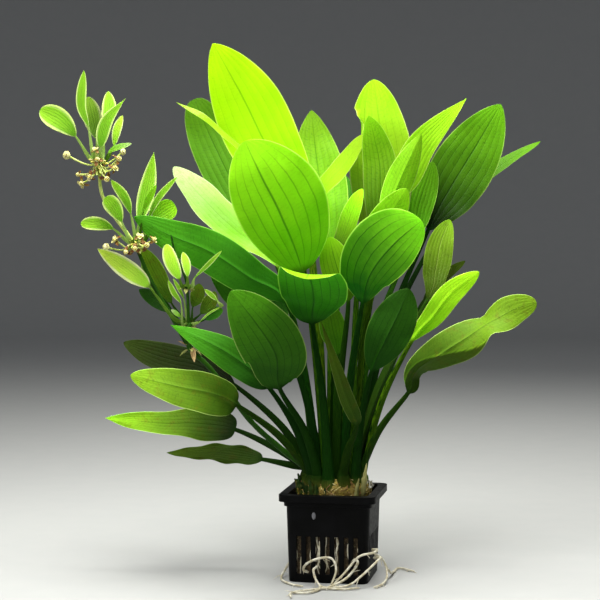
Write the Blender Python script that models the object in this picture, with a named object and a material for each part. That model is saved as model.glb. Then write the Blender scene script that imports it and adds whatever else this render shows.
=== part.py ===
"""Potted echinodorus: a sword plant with its flower stalk, rooted in a square slotted pot.

Metres, +Z up. The origin is the middle of the pot's underside, on the surface it stands on.
The plant is given in millimetres: x to the right, y to the back, z up from that surface.
"""

import math

import bmesh
import bpy
from mathutils import Matrix, Vector

MM = 0.001
GAP = 0.3
SHARP_ANGLE = math.radians(50)

# Pot, in millimetres
POT_TURN = math.radians(-10.5)
RIM_SIDE = 88.0
SHOULDER_SIDE = 80.0
BODY_SIDE = 76.0
BASE_SIDE = 72.0
RIM_TOP = 80.0
RIM_UNDERSIDE = 73.5
SHOULDER_UNDERSIDE = 69.0
WALL = 1.6
FLOOR_THICK = 2.5
CORNER = 7.0
CORNER_STEPS = 2
SLOT_WIDE = 4.0
SLOT_PITCH = 8.6
SLOTS_PER_SIDE = 7
SLOT_LOW = 8.0
SLOT_HIGH = 42.0
BOSS_AT = (-12.0, 61.0)
BOSS_RADII = (1.8, 1.2, 3.4)

# Growing medium and crown, in millimetres
MEDIUM_TOP = 74.0
MEDIUM_ROUND_OVER = 2.0
CROWN_RADII = [(33.0, 74.3), (34.0, 80.0), (32.0, 88.0), (29.5, 92.0)]
CROWN_SIDES = 20
FOOT_HEIGHT = CROWN_RADII[-1][1] + GAP

# Leaf stalks: width and thickness at the foot, above the sheath and at the neck, in millimetres
STALK_WIDE = (6.4, 3.6, 2.8)
STALK_THICK = (4.2, 2.8, 2.0)
SHEATH_SHARE = 0.15
STRAIGHT_RISE = 7.0
BOW_OUT = 0.38
BOW_UP = 0.55

# Rings of a leaf: shares of its stalk, shares of its blade, and places across it
STALK_STOPS = (0.0, 0.14, 0.42, 0.72)
BLADE_STOPS = (0.0, 0.12, 0.32, 0.55, 0.77, 0.93, 1.0)
ACROSS = (-1.0, -0.5, 0.0, 0.5, 1.0)
BLADE_THICK = 1.0
TIP_HALF_WIDTH = 0.35
CURVE_STEPS = 12

# Plantlet leaves, in millimetres; their stops count the stalk as 0 to 1 and the blade as 1 to 2
PLANTLET_STOPS = (0.0, 0.35, 0.95, 1.2, 1.5, 1.8, 2.0)
PLANTLET_CURVE_STEPS = 8
PLANTLET_STALK_HALF = 0.8
PLANTLET_TIP_HALF = 0.3
PLANTLET_STALK_DEEP = 0.7
PLANTLET_BLADE_DEEP = 0.6
PLANTLET_FOLD = 0.1

# Flower stalk, in millimetres
STALK_ROUTE = [
    (-25, -2, 92.8), (-25, -2, 96), (-30, -4, 103), (-48, -9, 118), (-76, -18, 145),
    (-110, -26, 191), (-129, -30, 211), (-145, -34, 239), (-164, -36, 273), (-177, -38, 304),
    (-204, -44, 344), (-208, -48, 372),
]
STALK_RADIUS = (2.6, 1.3)
BRANCH_ROUTE = [
    (-129, -30, 211), (-130, -35, 222), (-130, -38, 234), (-131, -44, 266), (-134, -45, 280),
    (-141, -45, 295), (-145, -44, 313),
]
BRANCH_RADIUS = (1.6, 0.9)
JOINT_RADIUS = 3.4
UPPER_JOINT_RADIUS = 2.2
JOINT_CLEAR = 1.0
FLOWER_STEM_RADIUS = (1.0, 1.0)
FLOWER_RADIUS = 3.4
WHORL_1 = (Vector((-208, -48, 374)), JOINT_RADIUS)
WHORL_2 = (Vector((-177, -38, 304)), JOINT_RADIUS)
WHORL_3 = (Vector((-130, -37, 232)), JOINT_RADIUS)
UPPER_JOINT = (Vector((-131, -44, 266)), UPPER_JOINT_RADIUS)

# Roots, in millimetres: radius where they leave the pot and at the end
ROOT_RADIUS = (1.1, 0.9)

COLOURS = {
    "leaf_bright": (0.30, 0.62, 0.02),
    "leaf_green": (0.10, 0.30, 0.02),
    "leaf_dark": (0.04, 0.13, 0.012),
    "flower_stalk": (0.05, 0.14, 0.02),
    "root": (0.75, 0.72, 0.58),
    "crown": (0.55, 0.42, 0.14),
    "medium": (0.16, 0.10, 0.05),
    "pot": (0.012, 0.012, 0.013),
}


def material(name):
    """A plain finish in the part's own colour."""
    made = bpy.data.materials.get(name)
    if made:
        return made
    made = bpy.data.materials.new(name)
    made.use_nodes = True
    shader = made.node_tree.nodes["Principled BSDF"]
    shader.inputs["Base Color"].default_value = (*COLOURS[name], 1.0)
    shader.inputs["Roughness"].default_value = 0.45
    return made


def place(name, form, finish):
    """Turns a bmesh in millimetres into a named object in metres."""
    bmesh.ops.recalc_face_normals(form, faces=form.faces)
    bmesh.ops.scale(form, vec=(MM, MM, MM), verts=form.verts)
    mesh = bpy.data.meshes.new(name)
    form.to_mesh(mesh)
    form.free()
    mesh.materials.append(material(finish))
    mesh.shade_smooth()
    mesh.set_sharp_from_angle(angle=SHARP_ANGLE)
    piece = bpy.data.objects.new(name, mesh)
    bpy.context.scene.collection.objects.link(piece)
    return piece


def boolean(piece, other, operation):
    """Joins or cuts with a helper, which stays in the file as a hidden wire."""
    step = piece.modifiers.new(operation.title() + " " + other.name, "BOOLEAN")
    step.operation = operation
    step.solver = "EXACT"
    step.object = other
    other.hide_render = True
    other.display_type = "WIRE"


def bridge(form, rings, over=0):
    """Closes a stack of rings of equal count into one skin with capped ends.

    On a thin leaf, over is how many faces of each step lie on top. Those and the ones below them
    are split along the same diagonal, so that a twisted blade keeps its thickness.
    """
    loops = [[form.verts.new(point) for point in ring] for ring in rings]
    for low, high in zip(loops, loops[1:]):
        for i in range(len(low)):
            j = (i + 1) % len(low)
            if not over:
                form.faces.new((low[i], low[j], high[j], high[i]))
            elif i < over:
                form.faces.new((low[i], low[j], high[j]))
                form.faces.new((low[i], high[j], high[i]))
            else:
                form.faces.new((low[i], low[j], high[i]))
                form.faces.new((low[j], high[j], high[i]))
    form.faces.new(loops[0])
    form.faces.new(loops[-1])


def smooth_path(points, per_span):
    """A dense curve through the points, with its running length."""
    ends = [points[0] * 2 - points[1], *points, points[-1] * 2 - points[-2]]
    path = []
    for a, b, c, d in zip(ends, ends[1:], ends[2:], ends[3:]):
        for i in range(per_span):
            t = i / per_span
            path.append(
                0.5 * (2 * b + (c - a) * t + (2 * a - 5 * b + 4 * c - d) * t**2
                       + (3 * b - a - 3 * c + d) * t**3)
            )
    path.append(points[-1].copy())
    lengths = [0.0]
    for before, after in zip(path, path[1:]):
        lengths.append(lengths[-1] + (after - before).length)
    return path, lengths


def along(path, lengths, distance):
    """The point and the direction at a distance along a dense curve."""
    distance = min(max(distance, 0.0), lengths[-1])
    i = 1
    while i < len(path) - 1 and lengths[i] < distance:
        i += 1
    share = (distance - lengths[i - 1]) / max(lengths[i] - lengths[i - 1], 1e-9)
    point = path[i - 1].lerp(path[i], share)
    direction = (path[min(i + 1, len(path) - 1)] - path[max(i - 2, 0)]).normalized()
    return point, direction


def tube(form, points, radii, sides, per_span):
    """A round closed tube along a smooth route; its radius goes evenly from first to last."""
    path, lengths = smooth_path([Vector(p) for p in points], per_span)
    normal = (path[1] - path[0]).orthogonal().normalized()
    rings = []
    for i, centre in enumerate(path):
        direction = (path[min(i + 1, len(path) - 1)] - path[max(i - 1, 0)]).normalized()
        normal = (normal - direction * normal.dot(direction)).normalized()
        other = direction.cross(normal)
        share = lengths[i] / lengths[-1]
        radius = radii[0] + (radii[1] - radii[0]) * share
        ring = []
        for k in range(sides):
            turn = 2 * math.pi * k / sides
            ring.append(centre + radius * (math.cos(turn) * normal + math.sin(turn) * other))
        rings.append(ring)
    bridge(form, rings)


def three_stops(values, share):
    """Foot, sheath and neck values: quick change over the sheath, slow along the stalk."""
    if share < SHEATH_SHARE:
        return values[0] + (values[1] - values[0]) * share / SHEATH_SHARE
    return values[1] + (values[2] - values[1]) * (share - SHEATH_SHARE) / (1 - SHEATH_SHARE)


def half_width(u, width, base_power, tip_power):
    """Half of a blade's width at share u from its neck to its tip."""
    widest = base_power / (base_power + tip_power)
    if u <= 0 or u >= 1:
        return 0.0
    rise = (u / widest) ** base_power
    fall = ((1 - u) / (1 - widest)) ** tip_power
    return width / 2 * rise * fall


def blend_facing(faces, share):
    """The way the blade faces at a share of the blade, between the given ways."""
    place_on_list = share * (len(faces) - 1)
    i = min(int(place_on_list), len(faces) - 2)
    return faces[i].lerp(faces[i + 1], place_on_list - i)


def blade_form(points, neck_index, first_facing, faces, width, powers, fold, wave, sides):
    """One leaf as a closed skin: a stalk up to the neck point, then a thin blade to the tip.

    Each ring has five points over the top, from edge to edge, and three back underneath.
    sides widens or narrows the left and right halves, seen from the front with the tip up.
    """
    path, lengths = smooth_path(points, CURVE_STEPS)
    neck = lengths[neck_index * CURVE_STEPS]
    total = lengths[-1]
    faces = [Vector(face).normalized() for face in faces]
    if first_facing.dot(faces[0]) < 0:
        faces = [-face for face in faces]
        sides = sides[::-1]
    stops = [(neck * s, s, None) for s in STALK_STOPS]
    stops += [(neck + (total - neck) * u, 1.0, u) for u in BLADE_STOPS]
    rings = []
    for distance, stalk_share, u in stops:
        centre, direction = along(path, lengths, distance)
        if distance == 0:
            direction = (points[1] - points[0]).normalized()
        if u is None:
            facing = first_facing.lerp(faces[0], stalk_share)
        else:
            facing = blend_facing(faces, u)
        facing = (facing - direction * facing.dot(direction)).normalized()
        side = direction.cross(facing)
        half = three_stops(STALK_WIDE, stalk_share) / 2
        deep = three_stops(STALK_THICK, stalk_share)
        bend = 0.0
        ripple = 0.0
        uneven = 0.0
        if u is not None:
            uneven = min(u * 5, 1.0)
            half = max(half_width(u, width, *powers), half * (1 - u) ** 4, TIP_HALF_WIDTH)
            deep = BLADE_THICK + (deep - BLADE_THICK) * (1 - u) ** 6
            bend = fold * uneven
            ripple = wave[0] * math.sin(2 * math.pi * (wave[1] * u + wave[2])) * min(u * 4, 1.0)
        top = []
        for v in ACROSS:
            lift = half * bend * abs(v) ** 1.5 + ripple * v * abs(v)
            if u is None or u == 0:
                lift = -deep * 0.5 * v * v
            share = sides[0] if v < 0 else sides[1]
            reach = half * v * (1 + (share - 1) * uneven)
            top.append(centre + side * reach + facing * lift)
        under = [top[k] - facing * (deep * (1.0 if k == 2 else 0.75)) for k in (3, 2, 1)]
        rings.append(top + under)
    form = bmesh.new()
    bridge(form, rings, over=len(ACROSS) - 1)
    return form


def leaf(name, foot, neck, blade, width, faces=((0, -1, 0),), powers=(0.75, 0.65), fold=0.06,
         wave=(0, 1, 0), sides=(1, 1), colour="leaf_green"):
    """A rosette leaf: foot is its ring radius and angle on the crown, in mm and degrees."""
    radius, angle = foot
    outward = Vector((math.cos(math.radians(angle)), math.sin(math.radians(angle)), 0))
    base = outward * radius + Vector((0, 0, FOOT_HEIGHT))
    neck = Vector(neck)
    span = neck - base
    middle = base + Vector((span.x * BOW_OUT, span.y * BOW_OUT, span.z * BOW_UP))
    rise = base + Vector((0, 0, min(STRAIGHT_RISE, span.z * 0.5)))
    stalk = [base, rise, middle]
    points = [*stalk, neck, *[Vector(point) for point in blade]]
    if len(faces) == 1:
        faces = faces * 2
    form = blade_form(points, len(stalk), -outward, faces, width, powers, fold, wave, sides)
    place(name, form, colour)


def plantlet_leaf(name, joint, root, blade, width, powers):
    """A small leaf of a plantlet: a rhombic skin that leaves the joint in the root direction."""
    centre, radius = joint
    root = Vector(root).normalized()
    foot = centre + root * (radius + JOINT_CLEAR)
    blade = [Vector(point) for point in blade]
    stalk = [foot, foot + root * ((blade[0] - foot).length * 0.3)]
    path, lengths = smooth_path([*stalk, *blade], PLANTLET_CURVE_STEPS)
    neck = lengths[len(stalk) * PLANTLET_CURVE_STEPS]
    viewer = Vector((0, -1, 0))
    rings = []
    for share in PLANTLET_STOPS:
        u = max(share - 1.0, 0.0)
        distance = neck * min(share, 1.0) + (lengths[-1] - neck) * u
        centre, direction = along(path, lengths, distance)
        facing = (viewer - direction * viewer.dot(direction)).normalized()
        side = direction.cross(facing)
        half = max(half_width(u, width, *powers), PLANTLET_STALK_HALF * (1 - u), PLANTLET_TIP_HALF)
        lift = facing * (half * PLANTLET_FOLD * min(u * 5, 1.0))
        deep = facing * (PLANTLET_BLADE_DEEP if u else PLANTLET_STALK_DEEP)
        left = centre - side * half + lift
        right = centre + side * half + lift
        rings.append([left, centre + deep, right, centre - deep])
    form = bmesh.new()
    bridge(form, rings, over=2)
    place(name, form, "leaf_bright")


def rounded_square(side, height, corner=CORNER):
    """The points of a square with round corners, around the pot's axis."""
    reach = side / 2 - corner
    ring = []
    for quarter in range(4):
        cx = reach * (1 if quarter in (0, 3) else -1)
        cy = reach * (1 if quarter in (0, 1) else -1)
        for i in range(CORNER_STEPS + 1):
            turn = math.pi / 2 * (quarter + i / CORNER_STEPS)
            x = cx + corner * math.cos(turn)
            y = cy + corner * math.sin(turn)
            ring.append(Vector((x, y, height)))
    return ring


def turn_with_pot(form):
    """Turns a shape around the pot's axis, as the pot stands."""
    turn = Matrix.Rotation(POT_TURN, 3, "Z")
    bmesh.ops.rotate(form, cent=(0, 0, 0), matrix=turn, verts=form.verts)


def cutter_box(name, low, high):
    """A hidden box in millimetres, turned with the pot."""
    form = bmesh.new()
    centre = (Vector(low) + Vector(high)) / 2
    size = Vector(high) - Vector(low)
    spot = Matrix.Translation(centre) @ Matrix.Diagonal((*size, 1))
    bmesh.ops.create_cube(form, size=1.0, matrix=spot)
    turn_with_pot(form)
    return place(name, form, "pot")


def inner_side(height):
    """The inside width of the pot at a height."""
    return BASE_SIDE + (BODY_SIDE - BASE_SIDE) * height / RIM_TOP - 2 * WALL


def pot():
    """A thin square pot with a wide lip, a shoulder and slots in the lower half of each wall."""
    outside = [
        rounded_square(BASE_SIDE, 0.0),
        rounded_square(BODY_SIDE, SHOULDER_UNDERSIDE),
        rounded_square(SHOULDER_SIDE, SHOULDER_UNDERSIDE),
        rounded_square(SHOULDER_SIDE, RIM_UNDERSIDE),
        rounded_square(RIM_SIDE, RIM_UNDERSIDE),
        rounded_square(RIM_SIDE, RIM_TOP),
    ]
    inside = [
        rounded_square(inner_side(RIM_TOP), RIM_TOP, CORNER - WALL),
        rounded_square(inner_side(FLOOR_THICK), FLOOR_THICK, CORNER - WALL),
    ]
    form = bmesh.new()
    bridge(form, outside + inside)
    turn_with_pot(form)
    body = place("pot", form, "pot")
    reach = RIM_SIDE
    for i in range(SLOTS_PER_SIDE):
        middle = (i - (SLOTS_PER_SIDE - 1) / 2) * SLOT_PITCH
        low = middle - SLOT_WIDE / 2
        high = middle + SLOT_WIDE / 2
        across_x = cutter_box("slot_x_" + str(i), (low, -reach, SLOT_LOW), (high, reach, SLOT_HIGH))
        boolean(body, across_x, "DIFFERENCE")
        across_y = cutter_box("slot_y_" + str(i), (-reach, low, SLOT_LOW), (reach, high, SLOT_HIGH))
        boolean(body, across_y, "DIFFERENCE")
    form = bmesh.new()
    spot = Matrix.Translation((BOSS_AT[0], -BODY_SIDE / 2 + 0.4, BOSS_AT[1]))
    spot = spot @ Matrix.Diagonal((*BOSS_RADII, 1))
    bmesh.ops.create_icosphere(form, subdivisions=1, radius=1.0, matrix=spot)
    turn_with_pot(form)
    boolean(body, place("boss_helper", form, "pot"), "UNION")


def growing_medium():
    """The block of medium that fills the pot, just clear of its walls and floor."""
    low_side = inner_side(FLOOR_THICK) - 3 * GAP
    high_side = inner_side(MEDIUM_TOP) - 3 * GAP
    corner = CORNER - WALL - GAP
    rings = [
        rounded_square(low_side, FLOOR_THICK + GAP, corner),
        rounded_square(high_side, MEDIUM_TOP - MEDIUM_ROUND_OVER, corner),
        rounded_square(high_side - 1.5 * MEDIUM_ROUND_OVER, MEDIUM_TOP, corner),
    ]
    form = bmesh.new()
    bridge(form, rings)
    turn_with_pot(form)
    place("growing_medium", form, "medium")


def crown():
    """The low rootstock that the leaves and the flower stalk rise from."""
    rings = []
    for radius, height in CROWN_RADII:
        ring = []
        for k in range(CROWN_SIDES):
            turn = 2 * math.pi * k / CROWN_SIDES
            ring.append(Vector((radius * math.cos(turn), radius * math.sin(turn), height)))
        rings.append(ring)
    form = bmesh.new()
    bridge(form, rings)
    place("crown", form, "crown")


def rosette():
    """The leaves of the rosette, tall ones first."""
    viewer = (0, -1, 0)
    leaf("leaf_top_left", (7, 150), (-29, 22, 337),
         [(-63, 26, 396), (-83, 20, 437), (-110, 0, 485)], 67,
         faces=(viewer, viewer, (0.1, -1, 0.3)), powers=(0.75, 0.76), colour="leaf_bright")
    leaf("leaf_edge_on_left", (7, -160), (-38, -10, 330), [(-104, -10, 406), (-142, -14, 431)],
         36, faces=((0.75, -0.15, 0.63), (0.75, -0.12, 0.63)), colour="leaf_bright")
    leaf("leaf_front_broad", (16, -112), (-29, -46, 280),
         [(-48, -62, 331), (-64, -68, 363), (-79, -66, 395)], 80, powers=(0.65, 0.62),
         sides=(0.9, 1.12), colour="leaf_bright")
    leaf("leaf_back_left", (16, 147), (-54, 55, 286),
         [(-91, 85, 352), (-116, 100, 402), (-133, 104, 441)], 46, powers=(0.7, 0.42))
    leaf("leaf_pale_left", (16, 172), (-49, -2, 282),
         [(-79, 8, 308), (-107, 14, 332), (-147, 30, 375)], 48, faces=((0.55, -0.6, 0.58),),
         powers=(0.7, 0.6), colour="leaf_bright")
    leaf("leaf_front_funnel", (25, -102), (-20, -52, 235),
         [(-19, -80, 259), (-23, -112, 281), (-26, -140, 278)], 60,
         faces=((0, 0.7, 0.7), (0.17, 0.3, 1)), powers=(0.5, 0.5))
    leaf("leaf_front_small", (16, -87), (12, -38, 254),
         [(5, -40, 274), (-1, -40, 294), (-5, -38, 311)], 29)
    leaf("leaf_centre_small", (0, 0), (3, -8, 203), [(-1, -12, 226), (-6, -14, 251)], 24)
    leaf("leaf_back_middle", (16, 97), (-3, 62, 286),
         [(-10, 88, 344), (-16, 104, 392), (-20, 112, 431)], 52, powers=(0.8, 0.8),
         colour="leaf_bright")
    leaf("leaf_front_narrow", (25, -72), (19, -48, 145),
         [(10, -62, 170), (0, -72, 200), (-13, -72, 239)], 13, powers=(0.3, 1.0))
    leaf("leaf_slim_middle", (16, 122), (-20, 40, 330), [(10, 44, 377), (32, 40, 407)], 32,
         faces=((-0.65, -0.5, 0.57),), colour="leaf_bright")
    leaf("leaf_back_dark", (25, 84), (5, 90, 285), [(9, 118, 330), (14, 132, 368)], 24,
         colour="leaf_dark")
    leaf("leaf_tall_right", (16, 72), (44, 46, 286),
         [(48, 62, 372), (43, 66, 424), (38, 64, 457)], 57, powers=(0.7, 0.6), sides=(1.15, 0.95),
         colour="leaf_bright")
    leaf("leaf_pale_small", (7, 90), (3, 8, 287), [(10, 8, 315), (18, 8, 337), (26, 6, 354)], 22,
         faces=((-0.6, -0.75, 0.3),), colour="leaf_bright")
    leaf("leaf_middle_right", (7, 20), (39, 17, 302),
         [(43, 26, 367), (38, 27, 399), (32, 24, 421)], 32)
    leaf("leaf_folded_right", (7, -50), (46, 9, 322),
         [(58, 13, 356), (69, 15, 381), (80, 17, 404)], 26, powers=(0.75, 0.85), fold=0.3)
    leaf("leaf_pointed_right", (16, 22), (52, 34, 336),
         [(68, 36, 368), (84, 34, 398), (122, 26, 437)], 29, powers=(0.6, 1.0),
         colour="leaf_bright")
    leaf("leaf_large_right", (25, 37), (90, 62, 316),
         [(111, 76, 354), (136, 84, 394), (160, 84, 435)], 59, powers=(0.7, 0.75))
    leaf("leaf_far_right", (25, 55), (100, 100, 309),
         [(135, 122, 352), (170, 134, 381), (205, 136, 401)], 17, faces=((-0.3, -0.6, 0.7),))
    leaf("leaf_dark_right", (16, 45), (72, 50, 304), [(81, 58, 340), (94, 62, 380)], 28,
         colour="leaf_dark")
    leaf("leaf_behind_round", (16, -32), (23, -20, 286),
         [(39, -28, 315), (54, -32, 338), (64, -34, 354)], 30, colour="leaf_bright")
    leaf("leaf_front_round", (16, -62), (24, -52, 253),
         [(31, -76, 281), (50, -90, 306), (73, -96, 326)], 57, powers=(0.75, 0.55),
         sides=(1.2, 0.82))
    leaf("leaf_olive_right", (16, 0), (86, 14, 252),
         [(94, 20, 280), (99, 24, 305), (107, 24, 326)], 26, colour="leaf_dark")
    leaf("leaf_light_right", (25, -5), (70, -4, 215),
         [(89, -8, 238), (106, -10, 260), (131, -10, 279)], 22)
    leaf("leaf_wavy_right", (25, -22), (66, -34, 172),
         [(75, -42, 192), (96, -50, 209), (117, -56, 223), (138, -58, 237), (157, -58, 248),
          (177, -54, 254)], 36,
         faces=((0.1, -0.9, 0.4), (0.1, -1, 0.1), (0, -1, 0.2), (0, -0.85, 0.5),
          (0, -0.3, 0.95), (0, -0.9, 0.3), (0, -1, 0.2)),
         powers=(0.5, 0.45))
    leaf("leaf_far_low_right", (25, 14), (84, 46, 248), [(104, 50, 272), (124, 52, 287)], 10,
         colour="leaf_dark")
    leaf("leaf_brown_low", (25, -44), (33, -28, 190),
         [(45, -36, 219), (57, -38, 244), (66, -36, 265)], 40, colour="leaf_dark")
    leaf("leaf_long_left", (16, -163), (-43, -26, 252),
         [(-76, -34, 275), (-111, -38, 298), (-147, -40, 313), (-178, -41, 329)], 38,
         powers=(0.6, 0.7), colour="leaf_dark")
    leaf("leaf_mid_left", (16, -137), (-46, -18, 222),
         [(-63, -14, 248), (-86, -12, 270), (-112, -10, 288)], 46)
    leaf("leaf_low_left", (25, -142), (-59, -40, 177),
         [(-84, -50, 201), (-115, -56, 220), (-145, -56, 234)], 30, faces=((0.1, -0.9, 0.4),),
         powers=(0.55, 1.0))
    leaf("leaf_olive_left", (25, 150), (-91, 22, 173),
         [(-124, 32, 189), (-162, 40, 198), (-196, 42, 211)], 31, faces=((0.1, -0.8, 0.5),),
         colour="leaf_dark")
    leaf("leaf_blunt_left", (25, -159), (-88, -36, 161),
         [(-109, -48, 172), (-141, -56, 180), (-180, -60, 190)], 38, faces=((0.1, -0.9, 0.4),),
         powers=(0.3, 0.6))
    leaf("leaf_wavy_left", (25, 167), (-90, 6, 134),
         [(-122, 6, 139), (-159, 4, 140), (-209, 2, 145)], 34, faces=((0, -0.8, 0.6),),
         powers=(0.3, 0.95), wave=(3, 1.5, 0))
    leaf("leaf_lowest_left", (25, 133), (-66, 26, 104), [(-110, 36, 108), (-156, 42, 107)], 22,
         faces=((0, -0.7, 0.7),), powers=(0.4, 0.8), colour="leaf_dark")
    leaf("leaf_front_left", (25, -125), (-49, -62, 179),
         [(-52, -84, 210), (-69, -100, 239), (-90, -106, 266)], 55, powers=(0.5, 0.65))


def plantlets():
    """The leaves of the three plantlets that grow from the flower stalk's joints."""
    plantlet_leaf("plantlet_1_leaf_left", WHORL_1, (-0.75, -0.15, 0.7),
                  [(-227, -56, 399), (-240, -60, 413), (-257, -64, 422)], 20, (0.8, 0.5))
    plantlet_leaf("plantlet_1_leaf_slim", WHORL_1, (-0.35, -0.5, 0.8),
                  [(-216, -56, 407), (-222, -58, 427), (-219, -62, 456)], 9, (0.8, 0.7))
    plantlet_leaf("plantlet_1_leaf_middle", WHORL_1, (-0.25, 0.4, 0.9),
                  [(-210, -46, 397), (-214, -42, 417), (-218, -40, 435)], 17, (0.8, 0.7))
    plantlet_leaf("plantlet_1_leaf_back", WHORL_1, (0.25, 0.5, 0.85),
                  [(-204, -42, 404), (-200, -36, 422), (-201, -32, 440)], 13, (0.8, 0.7))
    plantlet_leaf("plantlet_1_leaf_thin", WHORL_1, (0.3, -0.5, 0.8),
                  [(-206, -54, 389), (-200, -58, 412), (-183, -62, 432)], 12, (0.7, 1.3))
    plantlet_leaf("plantlet_1_leaf_right", WHORL_1, (0.75, 0.25, 0.65),
                  [(-195, -48, 391), (-192, -48, 405), (-187, -48, 418)], 8, (0.8, 0.7))
    plantlet_leaf("plantlet_2_leaf_round", WHORL_2, (-0.5, -0.75, 0.5),
                  [(-188, -48, 324), (-195, -52, 338), (-202, -54, 346)], 15, (0.8, 0.4))
    plantlet_leaf("plantlet_2_leaf_slim", WHORL_2, (0.0, -0.6, 0.8),
                  [(-180, -48, 331), (-185, -54, 346), (-196, -60, 361)], 9, (0.8, 0.7))
    plantlet_leaf("plantlet_2_leaf_left", WHORL_2, (-0.9, 0.15, 0.45),
                  [(-196, -40, 318), (-209, -50, 323), (-223, -58, 323)], 12, (0.8, 0.5))
    plantlet_leaf("plantlet_2_leaf_tall", WHORL_2, (0.1, 0.5, 0.85),
                  [(-174, -34, 324), (-167, -30, 353), (-161, -28, 386)], 15, (0.7, 1.0))
    plantlet_leaf("plantlet_2_leaf_thin", WHORL_2, (0.65, 0.05, 0.75),
                  [(-166, -35, 326), (-157, -36, 345), (-140, -40, 364)], 6, (0.8, 0.7))
    plantlet_leaf("plantlet_2_leaf_disc", WHORL_2, (0.6, 0.7, 0.3),
                  [(-161, -24, 326), (-152, -20, 334), (-143, -18, 339)], 19, (0.6, 0.4))
    plantlet_leaf("plantlet_3_leaf_large", WHORL_3, (-0.85, -0.4, 0.5),
                  [(-164, -49, 267), (-186, -54, 285), (-208, -60, 301)], 17.5, (0.6, 0.8))
    plantlet_leaf("plantlet_3_leaf_olive", WHORL_3, (-0.5, 0.75, 0.5),
                  [(-146, -24, 251), (-159, -22, 274), (-172, -22, 301)], 19, (0.8, 0.7))
    plantlet_leaf("plantlet_3_leaf_low", WHORL_3, (-0.8, 0.6, 0.1),
                  [(-145, -29, 243), (-161, -28, 255), (-175, -28, 264)], 13, (0.8, 0.7))
    plantlet_leaf("plantlet_3_leaf_pale", UPPER_JOINT, (-0.7, -0.6, 0.3),
                  [(-137, -53, 274), (-144, -58, 290), (-148, -60, 305)], 13, (0.6, 0.5))
    plantlet_leaf("plantlet_3_leaf_short", UPPER_JOINT, (0.1, -0.9, 0.3),
                  [(-130, -52, 276), (-131, -53, 287), (-134, -53, 298)], 8, (0.8, 0.7))
    plantlet_leaf("plantlet_3_leaf_thin", UPPER_JOINT, (0.8, -0.4, 0.3),
                  [(-124, -47, 275), (-113, -50, 286), (-100, -54, 299)], 4, (0.8, 0.7))


def flower_stalk():
    """The arching flower stalk with its side branch, its joints and the spent flowers."""
    form = bmesh.new()
    tube(form, STALK_ROUTE, STALK_RADIUS, 6, 3)
    stalk = place("flower_stalk", form, "flower_stalk")
    form = bmesh.new()
    tube(form, BRANCH_ROUTE, BRANCH_RADIUS, 6, 3)
    boolean(stalk, place("branch_helper", form, "flower_stalk"), "UNION")
    for number, (centre, radius) in enumerate((WHORL_1, WHORL_2, WHORL_3, UPPER_JOINT), 1):
        form = bmesh.new()
        spot = Matrix.Translation(centre)
        bmesh.ops.create_icosphere(form, subdivisions=1, radius=radius, matrix=spot)
        boolean(stalk, place("joint_helper_" + str(number), form, "flower_stalk"), "UNION")
    flowers = {
        "a": (WHORL_1, (-236, -50, 383)),
        "b": (WHORL_1, (-222, -58, 358)),
        "c": (WHORL_1, (-190, -52, 380)),
        "d": (WHORL_1, (-200, -58, 362)),
        "e": (WHORL_2, (-202, -48, 302)),
        "f": (WHORL_2, (-194, -48, 309)),
        "g": (WHORL_2, (-166, -50, 304)),
    }
    for name, ((whorl, _), tip) in flowers.items():
        tip = Vector(tip)
        form = bmesh.new()
        tube(form, [whorl, whorl.lerp(tip, 0.5) - Vector((0, 0, 1)), tip], FLOWER_STEM_RADIUS, 5, 2)
        boolean(stalk, place("flower_stem_helper_" + name, form, "flower_stalk"), "UNION")
        form = bmesh.new()
        spot = Matrix.Translation(tip)
        bmesh.ops.create_icosphere(form, subdivisions=1, radius=FLOWER_RADIUS, matrix=spot)
        boolean(stalk, place("flower_helper_" + name, form, "flower_stalk"), "UNION")


def roots(name, routes):
    """Roots that leave the slots and lie along the surface, grown together where they cross."""
    first = None
    for number, route in enumerate(routes):
        form = bmesh.new()
        tube(form, route, ROOT_RADIUS, 5, 3)
        if first is None:
            first = place(name, form, "root")
            continue
        boolean(first, place(name + "_helper_" + str(number), form, "root"), "UNION")


def all_roots():
    roots("roots_front", [
        [(-23.6, -35, 10), (-28, -43, 14), (-25, -51, 21), (-15, -53, 26), (-3, -53, 26),
         (1, -56, 16), (-4, -62, 3)],
        [(33.5, -32, 30), (38, -38, 31), (34, -47, 30), (21, -51, 27), (9, -55, 14), (-4, -62, 2.4)],
        [(18.7, -43, 24), (20, -48, 20), (10, -56, 9), (-6, -63, 2.4), (-15, -66, 1.8),
         (-38, -81, 1.6), (-39, -100, 1.6)],
        [(35, -30, 22), (41, -38, 24), (37, -48, 22), (24, -58, 12), (12, -62, 4), (-4, -62, 2)],
        [(-15.2, -37, 16), (-19, -45, 13), (-13, -59, 3), (4, -67, 1.7), (22, -62, 1.7)],
        [(-13, -59, 3), (-15, -70, 1.7), (-25, -82, 1.7), (-38, -81, 1.7)],
    ])
    roots("roots_left", [
        [(-39.5, -2, 14), (-45, -6, 6), (-48, -16, 1.6), (-46, -32, 1.6), (-37, -48, 1.6),
         (-28, -55, 1.6)],
    ])
    roots("roots_right", [
        [(36, -22, 24), (43, -21, 20), (47, -22, 12), (47, -34, 5), (42, -48, 2), (34, -60, 1.6)],
        [(47, -22, 12), (52, -8, 4), (56, 12, 1.6), (62, 26, 1.6), (75, 10, 1.6)],
    ])


def main():
    for old in list(bpy.data.objects):
        bpy.data.objects.remove(old, do_unlink=True)
    pot()
    growing_medium()
    crown()
    all_roots()
    flower_stalk()
    rosette()
    plantlets()


main()
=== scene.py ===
"""Looks of the potted echinodorus: fine leaves, flower stalk, crown, medium, roots and pot.

Routes and sizes repeat the model's own values, in millimetres: x right, y back, z up.
"""

import math
import random

import bmesh
import bpy
from mathutils import Matrix, Vector, noise


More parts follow.
